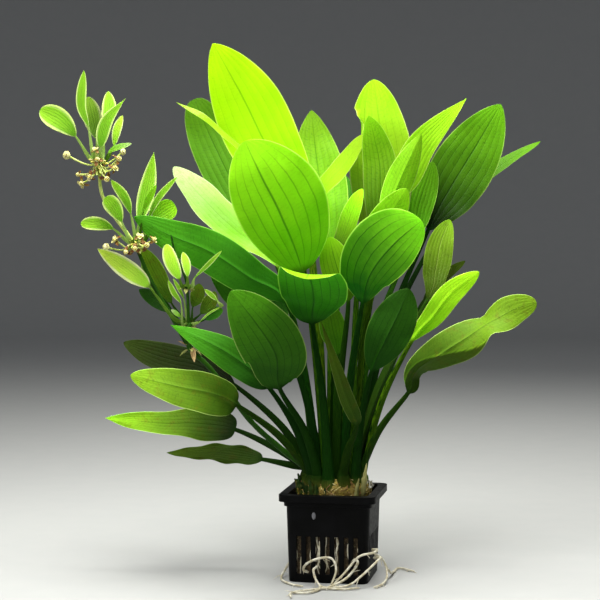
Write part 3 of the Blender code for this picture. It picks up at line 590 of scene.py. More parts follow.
def rosette():
    """The leaves of the rosette, tall ones first."""
    # After each look: foot and tip factors of painted light and tone, partly each leaf's own tone and partly
    # painted light and shade
    leaf("top_left", (7, 150), (-29, 22, 337), [(-63, 26, 396), (-83, 20, 437), (-110, 0, 485)], 67,
         "lime", (1.05, 1.08), faces=(VIEWER, VIEWER, (0.1, -1, 0.3)), powers=(0.75, 0.76),
         veins=(0.25, 1.0), slot=BRIGHT)
    leaf("edge_on_left", (7, -160), (-38, -10, 330), [(-104, -10, 406), (-142, -14, 431)], 36, "yellow",
         (1.1, 0.6), faces=((0.75, -0.15, 0.63), (0.75, -0.12, 0.63)), slot=BRIGHT)
    leaf("front_broad", (16, -112), (-29, -46, 280), [(-48, -62, 331), (-64, -68, 363), (-79, -66, 395)],
         80, "bright", powers=(0.65, 0.62), sides=(0.9, 1.12), quilt=0.5, veins=(0.6, 1.0), slot=BRIGHT)
    leaf("back_left", (16, 147), (-54, 55, 286), [(-91, 85, 352), (-116, 100, 402), (-133, 104, 441)], 46,
         "mid", (0.85, 0.5), powers=(0.7, 0.42), veins=(0.3, 0.7))
    leaf("pale_left", (16, 172), (-49, -2, 282), [(-79, 8, 308), (-107, 14, 332), (-147, 30, 375)], 48,
         "pale", (1.25, 0.66), faces=((0.55, -0.6, 0.58),), powers=(0.7, 0.6), quilt=0.15, slot=BRIGHT)
    leaf("front_funnel", (25, -102), (-20, -52, 235),
         [(-19, -80, 259), (-23, -112, 281), (-26, -140, 278)], 60, "bright", (0.8, 1.0),
         faces=((0, 0.7, 0.7), (0.17, 0.3, 1)), powers=(0.5, 0.5), quilt=0.1, under_look="deep")
    leaf("front_small", (16, -87), (12, -38, 254), [(5, -40, 274), (-1, -40, 294), (-5, -38, 311)], 29,
         "bright", (0.3, 0.9), quilt=0.3, veins=(1.0, 1.0))
    leaf("centre_small", (0, 0), (3, -8, 203), [(-1, -12, 226), (-6, -14, 251)], 24, "mid", (1.0, 0.45),
         quilt=0.1)
    leaf("back_middle", (16, 97), (-3, 62, 286), [(-10, 88, 344), (-16, 104, 392), (-20, 112, 431)], 52,
         "spring", (1.3, 0.52), powers=(0.8, 0.8), veins=(0.4, 0.9), slot=BRIGHT)
    leaf("front_narrow", (25, -72), (19, -48, 145), [(10, -62, 170), (0, -72, 200), (-13, -72, 239)], 13,
         "olive", (0.8, 0.55), powers=(0.3, 1.0), quilt=0.05)
    leaf("slim_middle", (16, 122), (-20, 40, 330), [(10, 44, 377), (32, 40, 407)], 32, "yellow",
         (1.0, 0.55), faces=((-0.65, -0.5, 0.57),), quilt=0.1, veins=(0.3, 0.6), slot=BRIGHT)
    leaf("back_dark", (25, 84), (5, 90, 285), [(9, 118, 330), (14, 132, 368)], 24, "deep", slot=DARK)
    leaf("tall_right", (16, 72), (44, 46, 286), [(48, 62, 372), (43, 66, 424), (38, 64, 457)], 57,
         "yellow", (0.15, 1.25), powers=(0.7, 0.6), sides=(1.15, 0.95),
         rolls=((-1, 0.62, 0.86, 0.55, 150),), veins=(0.5, 0.8), slot=BRIGHT)
    leaf("pale_small", (7, 90), (3, 8, 287), [(10, 8, 315), (18, 8, 337), (26, 6, 354)], 22, "spring",
         (0.1, 1.8), faces=((-0.6, -0.75, 0.3),), slot=BRIGHT)
    leaf("middle_right", (7, 20), (39, 17, 302), [(43, 26, 367), (38, 27, 399), (32, 24, 421)], 32,
         "spring", (0.2, 1.1), quilt=0.15)
    leaf("folded_right", (7, -50), (46, 9, 322), [(58, 13, 356), (69, 15, 381), (80, 17, 404)], 26,
         "spring", (1.2, 0.75), powers=(0.75, 0.85), fold=0.3, quilt=0.1)
    leaf("pointed_right", (16, 22), (52, 34, 336), [(68, 36, 368), (84, 34, 398), (122, 26, 437)], 29,
         "yellow", (0.8, 1.25), powers=(0.6, 1.0), quilt=0.1, slot=BRIGHT)
    leaf("large_right", (25, 37), (90, 62, 316), [(111, 76, 354), (136, 84, 394), (160, 84, 435)], 59,
         "mid", (0.05, 1.3), powers=(0.7, 0.75), quilt=0.12, veins=(0.35, 1.0))
    leaf("far_right", (25, 55), (100, 100, 309), [(135, 122, 352), (170, 134, 381), (205, 136, 401)], 17,
         "mid", (0.2, 0.85), faces=((-0.3, -0.6, 0.7),))
    leaf("dark_right", (16, 45), (72, 50, 304), [(81, 58, 340), (94, 62, 380)], 28, "mid", (1.5, 0.8),
         veins=(0.4, 0.8), slot=DARK)
    leaf("behind_round", (16, -32), (23, -20, 286), [(39, -28, 315), (54, -32, 338), (64, -34, 354)], 30,
         "spring", (1.3, 1.0), quilt=0.1, slot=BRIGHT)
    leaf("front_round", (16, -62), (24, -52, 253), [(31, -76, 281), (50, -90, 306), (73, -96, 326)], 57,
         "fresh", (0.8, 1.3), powers=(0.75, 0.55), sides=(1.2, 0.82), quilt=0.5, veins=(0.85, 1.0))
    leaf("olive_right", (16, 0), (86, 14, 252), [(94, 20, 280), (99, 24, 305), (107, 24, 326)], 26,
         "moss", (0.35, 1.2), veins=(0.1, 1.0), slot=DARK)
    leaf("light_right", (25, -5), (70, -4, 215), [(89, -8, 238), (106, -10, 260), (131, -10, 279)], 22,
         "yellow", (1.15, 1.2), quilt=0.1, veins=(0.3, 0.8))
    leaf("wavy_right", (25, -22), (66, -34, 172),
         [(75, -42, 192), (96, -50, 209), (117, -56, 223), (138, -58, 237), (157, -58, 248),
          (177, -54, 254)], 36, "olive", (1.3, 1.7),
         faces=((0.1, -0.9, 0.4), (0.1, -1, 0.1), (0, -1, 0.2), (0, -0.85, 0.5), (0, -0.3, 0.95),
                (0, -0.9, 0.3), (0, -1, 0.2)),
         powers=(0.5, 0.45), crease=(0.02, 0.62, 40), quilt=0.1, veins=(0.4, 0.8))
    leaf("far_low_right", (25, 14), (84, 46, 248), [(104, 50, 272), (124, 52, 287)], 10, "olive",
         (0.3, 0.5), slot=DARK)
    leaf("brown_low", (25, -44), (33, -28, 190), [(45, -36, 219), (57, -38, 244), (66, -36, 265)], 40,
         "deep", (0.55, 0.3), quilt=0.15, slot=DARK)
    leaf("long_left", (16, -163), (-43, -26, 252),
         [(-76, -34, 275), (-111, -38, 298), (-147, -40, 313), (-178, -41, 329)], 38, "deep", (1.4, 1.2),
         powers=(0.6, 0.7), quilt=0.08, veins=(0.2, 0.8), slot=DARK)
    leaf("mid_left", (16, -137), (-46, -18, 222), [(-63, -14, 248), (-86, -12, 270), (-112, -10, 288)],
         46, "deep", (0.5, 0.7), quilt=0.15)
    leaf("low_left", (25, -142), (-59, -40, 177), [(-84, -50, 201), (-115, -56, 220), (-145, -56, 234)],
         30, "deep", (0.35, 1.5), faces=((0.1, -0.9, 0.4),), powers=(0.55, 1.0), quilt=0.1,
         veins=(0.3, 0.8))
    leaf("olive_left", (25, 150), (-91, 22, 173), [(-124, 32, 189), (-162, 40, 198), (-196, 42, 211)], 31,
         "olive", (0.1, 0.22), faces=((0.1, -0.8, 0.5),), quilt=0.1, veins=(0.4, 0.8), slot=DARK)
    leaf("blunt_left", (25, -159), (-88, -36, 161),
         [(-109, -48, 172), (-141, -56, 180), (-180, -60, 190)], 38, "olive", (1.2, 2.4),
         faces=((0.1, -0.9, 0.4),), powers=(0.3, 0.6), quilt=0.1, veins=(0.5, 0.8))
    leaf("wavy_left", (25, 167), (-90, 6, 134), [(-122, 6, 139), (-159, 4, 140), (-209, 2, 145)], 34,
         "olive", (0.1, 4.2), faces=((0, -0.8, 0.6),), powers=(0.3, 0.95), wave=(3, 1.5, 0), quilt=0.1,
         veins=(0.4, 0.8))
    leaf("lowest_left", (25, 133), (-66, 26, 104), [(-110, 36, 108), (-156, 42, 107)], 22, "olive",
         (0.5, 0.6), faces=((0, -0.7, 0.7),), powers=(0.4, 0.8), quilt=0.1, ruffle=2.5, slot=DARK)
    leaf("front_left", (25, -125), (-49, -62, 179), [(-52, -84, 210), (-69, -100, 239), (-90, -106, 266)],
         55, "low", (0.55, 0.85), powers=(0.5, 0.65), quilt=0.15, veins=(0.8, 1.0))


# Plantlets: joints of the flower stalk, each with its radius

JOINT_CLEAR = 1.0
WHORL_1 = (Vector((-208, -48, 374)), 3.4)
WHORL_2 = (Vector((-177, -38, 304)), 3.4)
WHORL_3 = (Vector((-130, -37, 232)), 3.4)
UPPER_JOINT = (Vector((-131, -44, 266)), 2.2)
BRANCH_JOINT = (Vector((-129, -30, 211)), 3.0)
FAN_JOINT = (Vector((-100, -49, 250)), 1.2)

# Leaves at a joint: name, direction at the foot, three points of the blade, width, and what else differs;
# painted_light_and_tone scales the light of a leaf's foot and tip, partly its own tone and partly painted
# light
PLANTLETS = (
    ("plantlet_1_leaf_", WHORL_1, (
        ("left", (-0.75, -0.15, 0.7), [(-227, -56, 399), (-240, -60, 413), (-257, -64, 422)], 20,
         dict(powers=(0.8, 0.5))),
        ("slim", (-0.35, -0.5, 0.8), [(-216, -56, 407), (-222, -58, 427), (-219, -62, 456)], 9, {}),
        ("middle", (-0.25, 0.4, 0.9), [(-210, -46, 397), (-214, -42, 417), (-218, -40, 435)], 17,
         dict(painted_light_and_tone=(0.35, 0.5))),
        ("back", (0.25, 0.5, 0.85), [(-204, -42, 404), (-200, -36, 422), (-201, -32, 440)], 13, {}),
        ("thin", (0.3, -0.5, 0.8), [(-206, -54, 389), (-200, -58, 412), (-183, -62, 432)], 12,
         dict(powers=(0.7, 1.3))),
        ("right", (0.75, 0.25, 0.65), [(-195, -48, 391), (-192, -48, 405), (-187, -48, 418)], 8,
         dict(look="tender")),
    )),
    ("plantlet_2_leaf_", WHORL_2, (
        ("round", (-0.5, -0.75, 0.5), [(-188, -48, 324), (-195, -52, 338), (-202, -54, 346)], 15,
         dict(powers=(0.8, 0.4))),
        ("slim", (0.0, -0.6, 0.8), [(-180, -48, 331), (-185, -54, 346), (-196, -60, 361)], 9, {}),
        ("left", (-0.9, 0.15, 0.45), [(-196, -40, 318), (-209, -50, 323), (-223, -58, 323)], 12,
         dict(powers=(0.8, 0.5))),
        ("tall", (0.1, 0.5, 0.85), [(-174, -34, 324), (-167, -30, 353), (-161, -28, 386)], 15,
         dict(powers=(0.7, 1.0))),
        ("thin", (0.65, 0.05, 0.75), [(-166, -35, 326), (-157, -36, 345), (-140, -40, 364)], 6, {}),
        ("disc", (0.6, 0.7, 0.3), [(-161, -24, 326), (-152, -20, 334), (-143, -18, 339)], 19,
         dict(powers=(0.6, 0.4), look="spring", painted_light_and_tone=(0.95, 1.0))),
    )),
    ("plantlet_3_leaf_", WHORL_3, (
        ("large", (-0.85, -0.4, 0.5), [(-164, -49, 267), (-186, -54, 285), (-208, -60, 301)], 17.5,
         dict(powers=(0.6, 0.8), look="tender", painted_light_and_tone=(0.85, 0.8))),
        ("olive", (-0.5, 0.75, 0.5), [(-146, -24, 251), (-159, -22, 274), (-172, -22, 301)], 19,
         dict(look="olive", painted_light_and_tone=(1.4, 1.6))),
        ("low", (-0.8, 0.6, 0.1), [(-145, -29, 243), (-161, -28, 255), (-175, -28, 264)], 13,
         dict(look="deep", painted_light_and_tone=(0.4, 0.4))),
    )),
    ("plantlet_3_leaf_", UPPER_JOINT, (
        ("pale", (-0.7, -0.6, 0.3), [(-137, -53, 274), (-144, -58, 290), (-148, -60, 305)], 13,
         dict(powers=(0.6, 0.5), look="tender", painted_light_and_tone=(1.1, 1.2))),
        ("short", (0.1, -0.9, 0.3), [(-130, -52, 276), (-131, -53, 287), (-134, -53, 298)], 8,
         dict(look="tender", painted_light_and_tone=(1.1, 1.2))),
        ("thin", (0.8, -0.4, 0.3), [(-124, -47, 275), (-113, -50, 286), (-100, -54, 299)], 4, {}),
    )),
)

# Very small leaves, which no solid stands for: joint, direction, blade, width, look
SMALL_LEAVES = {
    "a": (WHORL_2, (0.4, -0.3, 0.9), [(-170, -40, 333), (-164, -41, 346), (-158, -42, 357)], 6, "spring"),
    "b": (WHORL_1, (0.8, -0.2, 0.5), [(-200, -51, 384), (-193, -54, 389), (-178, -58, 393)], 5, "pale"),
    "c": (WHORL_3, (-0.2, -0.3, 1.0),
           [(-134, -42, 256), (-138, -43, 265), (-143, -44, 274)], 3.6, "young"),
    "d": (WHORL_3, (-0.6, -0.5, 0.4),
           [(-137, -44, 240), (-141, -45, 244), (-145, -46, 247)], 4, "pale"),
    "e": (WHORL_3, (-0.5, -0.85, 0.3),
           [(-136, -50, 252), (-142, -53, 262), (-147, -55, 273)], 5, "young"),
    "f": (FAN_JOINT, (-0.6, -0.3, 0.7),
           [(-104, -50, 255), (-109, -51, 260), (-115, -52, 265)], 4.5, "young"),
    "g": (WHORL_3, (0.8, -0.2, 0.3),
           [(-120, -46, 236), (-111, -48, 244), (-100, -49, 250)], 1.8, "young"),
    "h": (WHORL_3, (0.6, 0.3, 0.7), [(-120, -30, 242), (-112, -28, 252), (-107, -26, 262)], 13, "olive"),
    "i": (WHORL_3, (0.3, 0.4, 0.9), [(-127, -28, 248), (-123, -26, 258), (-121, -24, 269)], 13, "olive"),
    "j": (WHORL_3, (0.9, 0.2, 0.4), [(-116, -30, 237), (-108, -28, 243), (-100, -28, 246)], 11, "deep"),
}


def plantlet_leaf(name, joint, root, blade, width, node, slim=0.42, look="young", powers=(0.8, 0.7),
                  **more):
    """A small leaf of a plantlet, which leaves the joint in the root direction."""
    centre, radius = joint
    root = Vector(root).normalized()
    foot = centre + root * (radius + JOINT_CLEAR)
    blade = [Vector(point) for point in blade]
    points = [foot, foot + root * ((blade[0] - foot).length * 0.3), *blade]
    fine_leaf("fine_" + name, node, points, 2, Vector(VIEWER), (VIEWER,), width, powers, 0.12, (0, 1, 0),
              look, slim=slim, sheath=3.0, across=17, blade_rings=26, stalk_rings=10, thin=0.45,
              slot=BRIGHT, **more)


def plantlets():
    """The leaves of the plantlets that grow from the flower stalk's joints."""
    for prefix, joint, leaves in PLANTLETS:
        for name, root, blade, width, more in leaves:
            plantlet_leaf(prefix + name, joint, root, blade, width, prefix + name, **more)
    for name, (joint, root, blade, width, look) in SMALL_LEAVES.items():
        plantlet_leaf("small_leaf_" + name, joint, root, blade, width, None, slim=0.3, look=look)


# Flower stalk, with the side branch and the spent flowers round the two upper joints

STALK_ROUTE = [
    (-25, -2, 80), (-25, -2, 96), (-30, -4, 103), (-48, -9, 118), (-76, -18, 145), (-110, -26, 191),
    (-129, -30, 211), (-145, -34, 239), (-164, -36, 273), (-177, -38, 304), (-204, -44, 344),
    (-208, -48, 374),
]
BRANCH_ROUTE = [
    (-129, -30, 211), (-130, -35, 222), (-130, -38, 234), (-131, -44, 266), (-134, -45, 280),
    (-141, -45, 295), (-145, -44, 313),
]
FLOWERS = (
    (WHORL_1, (-236, -50, 383), 3.6, "bud"), (WHORL_1, (-222, -58, 358), 3.5, "open"),
    (WHORL_1, (-190, -52, 380), 3.5, "spent"), (WHORL_1, (-200, -58, 362), 3.6, "spent"),
    (WHORL_1, (-215, -60, 364), 3.0, "open"), (WHORL_1, (-193, -58, 372), 3.0, "open"),
    (WHORL_1, (-187, -46, 386), 2.8, "bud"), (WHORL_1, (-226, -52, 366), 2.6, "spent"),
    (WHORL_1, (-208, -60, 379), 3.0, "spent"), (WHORL_1, (-210, -58, 388), 2.4, "open"),
    (WHORL_2, (-202, -48, 302), 3.4, "bud"), (WHORL_2, (-194, -48, 309), 3.3, "open"),
    (WHORL_2, (-166, -50, 304), 3.4, "spent"), (WHORL_2, (-184, -54, 298), 2.9, "spent"),
    (WHORL_2, (-172, -52, 312), 2.8, "open"), (WHORL_2, (-160, -46, 309), 2.7, "open"),
    (WHORL_2, (-176, -54, 301), 3.0, "spent"),
)
FLOWER_SHARE = 0.92
PETAL_THICK = 0.25
FILAMENTS = 40
KNOBS = 26
GOLDEN_TURN = 2.39996
THIRD_TURN = 2.0944
FIFTH_TURN = 1.2566
SIXTH_TURN = 1.05
PETAL_RINGS = 8
GREEN, CREAM, SEPAL, YELLOW, HEART, BRACT, PINK, STEM = range(8)


def petal(form, base, direction, facing, length, width, cup, index, tip_power=0.45):
    """A small thin petal, sepal or bract, closed all round."""
    direction = direction.normalized()
    facing = (facing - direction * facing.dot(direction)).normalized()
    side = direction.cross(facing)
    loops = []
    for i in range(PETAL_RINGS):
        u = i / (PETAL_RINGS - 1)
        half = max(half_width(min(max(u, 0.04), 0.97), width, 0.6, tip_power), 0.12)
        centre = base + direction * (length * u) + facing * (cup * length * u * u)
        top = [centre + side * (half * v) + facing * (half * 0.35 * v * v) for v in (-1, -0.5, 0, 0.5, 1)]
        under = [top[k] - facing * PETAL_THICK for k in (3, 2, 1)]
        loops.append([form.verts.new(p) for p in top + under])
    join_rings(form, loops, index)


def spent_flower(form, tip, outward, radius, kind, rng):
    """A bud, a spent flower with a knobbly head, or an open small flower, by kind."""
    outward = outward.normalized()
    around = outward.orthogonal().normalized()
    turn = rng.uniform(0, 6.28)
    if kind == "bud":
        ball(form, tip, radius, CREAM, 3, 0.12, (1, 1, 1.12), turn)
        spread, long, wide, cup = 0.75, radius * 1.5, radius * 1.5, -0.25
    else:
        ball(form, tip, radius * 0.62, HEART if kind == "spent" else YELLOW, 2, 0.25, seed=turn)
        for k in range(KNOBS):
            z = 1 - 2 * (k + 0.5) / KNOBS
            flat = math.sqrt(1 - z * z)
            spot = Vector((math.cos(k * GOLDEN_TURN) * flat, math.sin(k * GOLDEN_TURN) * flat, z))
            ball(form, tip + spot * radius * 0.62, radius * 0.24, CREAM if k % 3 else YELLOW, 1)
        spread, long, wide, cup = 0.1, radius * 1.7, radius * 1.3, -0.5
    for k in range(3):
        way = Matrix.Rotation(turn + k * THIRD_TURN, 3, outward) @ around
        petal(form, tip - outward * radius * 0.5, way + outward * spread, outward, long, wide, cup, SEPAL)
    if kind == "open":
        for k in range(3):
            way = Matrix.Rotation(turn + SIXTH_TURN + k * THIRD_TURN, 3, outward) @ around
            petal(form, tip - outward * radius * 0.3, way + outward * 0.35, outward, radius * 1.5,
                  radius * 1.4, 0.1, CREAM, 0.3)


def flower_stalk():
    """The arching stalk, its swollen joints with bracts, and the spent flowers round two of them."""
    rng = random.Random(7)
    form = bmesh.new()
    tube(form, STALK_ROUTE[:10], (2.7, 2.6, 2.4, 2.1, 1.8, 1.7), 14, 10, 0.10, 1.0, GREEN)
    tube(form, STALK_ROUTE[9:], (1.7, 1.5, 1.4), 14, 10, 0.10, 2.0, STEM)
    tube(form, BRANCH_ROUTE, (1.7, 1.5, 1.3, 1.2, 0.9), 12, 8, 0.1, 3.0, GREEN)
    for centre, radius in (WHORL_1, WHORL_2, WHORL_3, UPPER_JOINT, BRANCH_JOINT):
        ball(form, centre, radius, GREEN, 3, 0.25, seed=centre.x)
        for k in range(5):
            a = k * FIFTH_TURN + centre.z
            way = Vector((math.cos(a), math.sin(a) * 0.8, -0.35 + 0.3 * (k % 2)))
            petal(form, centre + way * radius * 0.7, way, Vector((0, 0, 1)), rng.uniform(2.0, 3.2) * radius,
                  4.2, -0.25, BRACT, 1.0)
    for base, way, facing, length, width, cup in (
        ((-127, -33, 212), (0.15, -0.2, -1), (0, -1, 0.1), 13, 5, 0.05),
        ((-131, -31, 214), (-0.8, -0.2, 0.3), (0, -0.3, 1), 10, 4, 0.1),
    ):
        petal(form, Vector(base), Vector(way), Vector(facing), length, width, cup, PINK, 1.0)
    for number, ((whorl, _), tip, radius, kind) in enumerate(FLOWERS):
        tip = Vector(tip)
        sag = Vector((0, 0, -2.5 - (number % 3)))
        route = [whorl, whorl.lerp(tip, 0.45) + sag, tip]
        tube(form, route, (0.9, 0.7, 0.9), 8, 6, 0.15, number, STEM)
        spent_flower(form, tip, tip - whorl - sag, radius * FLOWER_SHARE, kind, rng)
    for whorl, _ in (WHORL_1, WHORL_2):
        for k, turn in enumerate(turns(FILAMENTS)):
            turn += rng.uniform(-0.2, 0.2)
            reach = rng.uniform(3, 10)
            way = Vector((math.cos(turn) * reach, math.sin(turn) * reach * 0.6 - 5, rng.uniform(-9, 6)))
            route = [whorl, whorl.lerp(whorl + way, 0.5) + Vector((0, 0, 1.5)), whorl + way]
            index = (STEM, CREAM, STEM, STEM, YELLOW, SEPAL, STEM)[k % 7]
            tube(form, route, (0.7, 0.5, 1.0), 6, 4, index=index)
    materials = [
        plain_material("stalk_green", (0.008, 0.040, 0.002), (0.022, 0.085, 0.004), 60.0, 0.5,
                       stretch=(1.0, 1.0, 0.15), specular=0.08),
        plain_material("flower_cream", (0.62, 0.58, 0.20), (0.90, 0.86, 0.48), 300.0, 0.6, glow=0.2),
        plain_material("sepal_brown", (0.12, 0.030, 0.010), (0.30, 0.14, 0.03), 250.0, 0.55, glow=0.1,
                       third=(0.52, 0.54, 0.10)),
        plain_material("flower_yellow", (0.50, 0.44, 0.05), (0.76, 0.68, 0.18), 300.0, 0.6),
        plain_material("flower_heart", (0.14, 0.03, 0.012), (0.30, 0.12, 0.03), 300.0, 0.6),
        plain_material("bract_dry", (0.22, 0.26, 0.05), (0.46, 0.44, 0.14), 200.0, 0.55, glow=0.2),
        plain_material("bract_pink", (0.40, 0.24, 0.10), (0.62, 0.44, 0.20), 200.0, 0.5, glow=0.2),
        plain_material("flower_stem", (0.46, 0.58, 0.10), (0.72, 0.80, 0.26), 200.0, 0.5, glow=0.2),
    ]
    show("fine_flower_stalk", form, materials, "flower_stalk")


# Roots outside the pot

ROOT_ROUTES = {
    "roots_front": [
        [(-23.6, -35, 10), (-28, -43, 14), (-25, -51, 21), (-15, -53, 26), (-3, -53, 26), (1, -56, 16),
         (-4, -62, 3)],
        [(33.5, -32, 30), (38, -38, 31), (34, -47, 30), (21, -51, 27), (9, -55, 14), (-4, -62, 2.4)],
        [(18.7, -43, 24), (20, -48, 20), (10, -56, 9), (-6, -63, 2.4), (-15, -66, 1.8), (-38, -81, 1.6),
         (-39, -100, 1.6)],
        [(35, -30, 22), (41, -38, 24), (37, -48, 22), (24, -58, 12), (12, -62, 4), (-4, -62, 2)],
        [(-15.2, -37, 16), (-19, -45, 13), (-13, -59, 3), (4, -67, 1.7), (22, -62, 1.7)],
        [(-13, -59, 3), (-15, -70, 1.7), (-25, -82, 1.7), (-38, -81, 1.7)],
    ],
    "roots_left": [
        [(-39.5, -2, 14), (-45, -6, 6), (-48, -16, 1.6), (-46, -32, 1.6), (-37, -48, 1.6), (-28, -55, 1.6)],
    ],
    "roots_right": [
        [(36, -22, 24), (43, -21, 20), (47, -22, 12), (47, -34, 5), (42, -48, 2), (34, -60, 1.6)],
        [(47, -22, 12), (52, -8, 4), (56, 12, 1.6), (62, 26, 1.6), (75, 10, 1.6)],
    ],
}
SIDE_ROOT_EVERY = 9
LOWEST_ROOT = 0.45
UNDER_POT = (38, 40)


def roots():
    """The roots outside the pot: thick ones on the model's routes, with fine side roots."""
    rng = random.Random(11)
    finish = plain_material("root_skin", (0.56, 0.50, 0.34), (0.86, 0.83, 0.72), 180.0, 0.5, 0.0002,
                            glow=0.25)
    for name, routes in ROOT_ROUTES.items():
        form = bmesh.new()
        for number, route in enumerate(routes):
            tube(form, route, (1.15, 1.1, 1.0, 1.0, 0.75), 12, 10, 0.28, number * 5.0)
            path, lengths = smooth_path([Vector(p) for p in route])
            for k in range(int(lengths[-1] / SIDE_ROOT_EVERY)):
                start, way = along(path, lengths, rng.uniform(0.15, 0.95) * lengths[-1])
                bend = Vector((rng.uniform(-1, 1), rng.uniform(-1, 0.6), rng.uniform(-0.8, 0.3)))
                far = start + (way * rng.uniform(-0.5, 1.0) + bend.normalized()) * rng.uniform(3, 8)
                far.z = max(far.z - 2.0, LOWEST_ROOT)
                middle = start.lerp(far, 0.5)
                middle.z = max(middle.z + rng.uniform(-0.5, 1.0), 0.5)
                if abs(far.x) >= UNDER_POT[0] or abs(far.y) >= UNDER_POT[1]:
                    tube(form, [start, middle, far], (0.4, 0.3, 0.16), 6, 4, 0.3, k)
        show("fine_" + name, form, [finish], name)


# Pot: sides of its squares, heights, wall, slots and the small bump on its front, coloured pale as a painted
# glint

POT_TURN = math.radians(-10.5)
RIM_SIDE = 88.0
SHOULDER_SIDE = 80.0
BODY_SIDE = 76.0
BASE_SIDE = 72.0
RIM_TOP = 80.0
RIM_UNDERSIDE = 73.5
SHOULDER_UNDERSIDE = 69.0
WALL = 1.6
FLOOR_THICK = 2.5
CORNER = 7.0
SLOT_WIDE = 4.0
SLOT_PITCH = 8.6
SLOTS_PER_SIDE = 7
SLOT_LOW = 8.0
SLOT_HIGH = 42.0
PAINTED_GLINT_AT = (-12.0, 61.0)
SLOT_EDGES = [
    (i - 3) * SLOT_PITCH + edge for i in range(SLOTS_PER_SIDE) for edge in (-SLOT_WIDE / 2, SLOT_WIDE / 2)]
ARC_STEPS = 6
SOFT_EDGE = 0.5

# Spans of the pot's rings that the slots cut, and the rings along a slot: outside up, inside down
SLOT_SPANS = (1, 9)
SLOT_RINGS = (1, 2, 9, 10)


def corner_arc(quarter, side, height, corner):
    """Points round one corner of a square with round corners."""
    reach = side / 2 - corner
    middle = Vector((reach if quarter in (0, 3) else -reach, reach if quarter in (0, 1) else -reach, 0))
    angles = [math.pi / 2 * (quarter + i / ARC_STEPS) for i in range(ARC_STEPS + 1)]
    return [middle + Vector((corner * math.cos(a), corner * math.sin(a), height)) for a in angles]


def slotted_ring(side, height, corner):
    """Points round a square with round corners, with a pair of points at each slot."""
    ring = []
    for quarter in range(4):
        ring += corner_arc(quarter, side, height, corner)
        turn = math.pi / 2 * (quarter + 1)
        out = Vector((math.cos(turn), math.sin(turn), 0))
        run = Vector((-out.y, out.x, 0))
        ring += [out * (side / 2) + run * offset + Vector((0, 0, height)) for offset in SLOT_EDGES]
    return ring


def even_ring(side, height, corner, count):
    """Evenly spaced points round a square with round corners."""
    dense = [point for quarter in range(4) for point in corner_arc(quarter, side, height, corner)]
    dense.append(dense[0])
    lengths = [0.0]
    for a, b in zip(dense, dense[1:]):
        lengths.append(lengths[-1] + (b - a).length)
    ring, i = [], 1
    for k in range(count):
        want = lengths[-1] * k / count
        while lengths[i] < want:
            i += 1
        share = (want - lengths[i - 1]) / max(lengths[i] - lengths[i - 1], 1e-9)
        ring.append(dense[i - 1].lerp(dense[i], share))
    return ring


def outer_side(height):
    return BASE_SIDE + (BODY_SIDE - BASE_SIDE) * height / SHOULDER_UNDERSIDE


def inner_side(height):
    return BASE_SIDE + (BODY_SIDE - BASE_SIDE) * height / RIM_TOP - 2 * WALL


def turn_with_pot(form):
    bmesh.ops.rotate(form, cent=(0, 0, 0), matrix=Matrix.Rotation(POT_TURN, 3, "Z"), verts=form.verts)


def pot():
    """The slotted pot with a rounded lip, softened edges and a fine moulded grain."""
    form = bmesh.new()
    profile = [(outer_side(z), z, CORNER) for z in (0.0, SLOT_LOW, SLOT_HIGH)]
    profile += [
        (BODY_SIDE, SHOULDER_UNDERSIDE, CORNER), (SHOULDER_SIDE, SHOULDER_UNDERSIDE, CORNER),
        (SHOULDER_SIDE, RIM_UNDERSIDE, CORNER), (RIM_SIDE, RIM_UNDERSIDE, CORNER),
        (RIM_SIDE, RIM_TOP, CORNER),
    ]
    profile += [(inner_side(z), z, CORNER - WALL) for z in (RIM_TOP, SLOT_HIGH, SLOT_LOW, FLOOR_THICK)]
    loops = [[form.verts.new(p) for p in slotted_ring(*row)] for row in profile]
    count = len(loops[0])

    def is_slot(j):
        place = j % (count // 4) - (ARC_STEPS + 1)
        return place >= 0 and place % 2 == 0

    for k, (low, high) in enumerate(zip(loops, loops[1:])):
        for j in range(count):
            m = (j + 1) % count
            if not (k in SLOT_SPANS and is_slot(j)):
                form.faces.new((low[j], low[m], high[m], high[j]))
    form.faces.new(loops[0])
    form.faces.new(loops[-1])
    for j in filter(is_slot, range(count)):
        near = [loops[k][j] for k in SLOT_RINGS]
        far = [loops[k][j + 1] for k in SLOT_RINGS]
        form.faces.new((near[0], far[0], far[3], near[3]))
        form.faces.new((near[1], far[1], far[2], near[2]))
        form.faces.new(near)
        form.faces.new(far)
    # A small bump on the front wall, coloured pale grey as a painted glint
    glint_x, glint_z = PAINTED_GLINT_AT
    ball(form, Vector((glint_x, -outer_side(glint_z) / 2, glint_z)), 1.0, 1, 3, stretch=(1.8, 1.0, 3.4))
    turn_with_pot(form)
    shell = plain_material("pot_plastic", (0.0015, 0.0015, 0.0015), (0.003, 0.003, 0.0035), 40.0, 0.45,
                           0.00012, specular=0.06)
    # Pale grey for the bump: a painted glint on the near-black plastic
    painted_glint = plain_material("pot_painted_glint", (0.10, 0.10, 0.11), (0.22, 0.22, 0.24), 90.0, 0.35, 0.0001)
    piece = show("fine_pot", form, [shell, painted_glint], "pot", sharp=35)
    soften = piece.modifiers.new("soft edges", "BEVEL")
    soften.width = SOFT_EDGE * MM
    soften.segments = 3
    soften.limit_method = "ANGLE"
    soften.angle_limit = math.radians(40)
    soften.harden_normals = True


# Growing medium and crown

MEDIUM_POINTS = 150
MEDIUM_GAP = 1.3
MEDIUM_LOW, MEDIUM_HIGH, MEDIUM_TOP = 2.8, 72.6, 73.0
SIDE_RINGS = 36
TOP_RINGS = 12
SLOT_ROOTS = 84
STRANDS = 150
STRANDS_WITHIN = 34.5


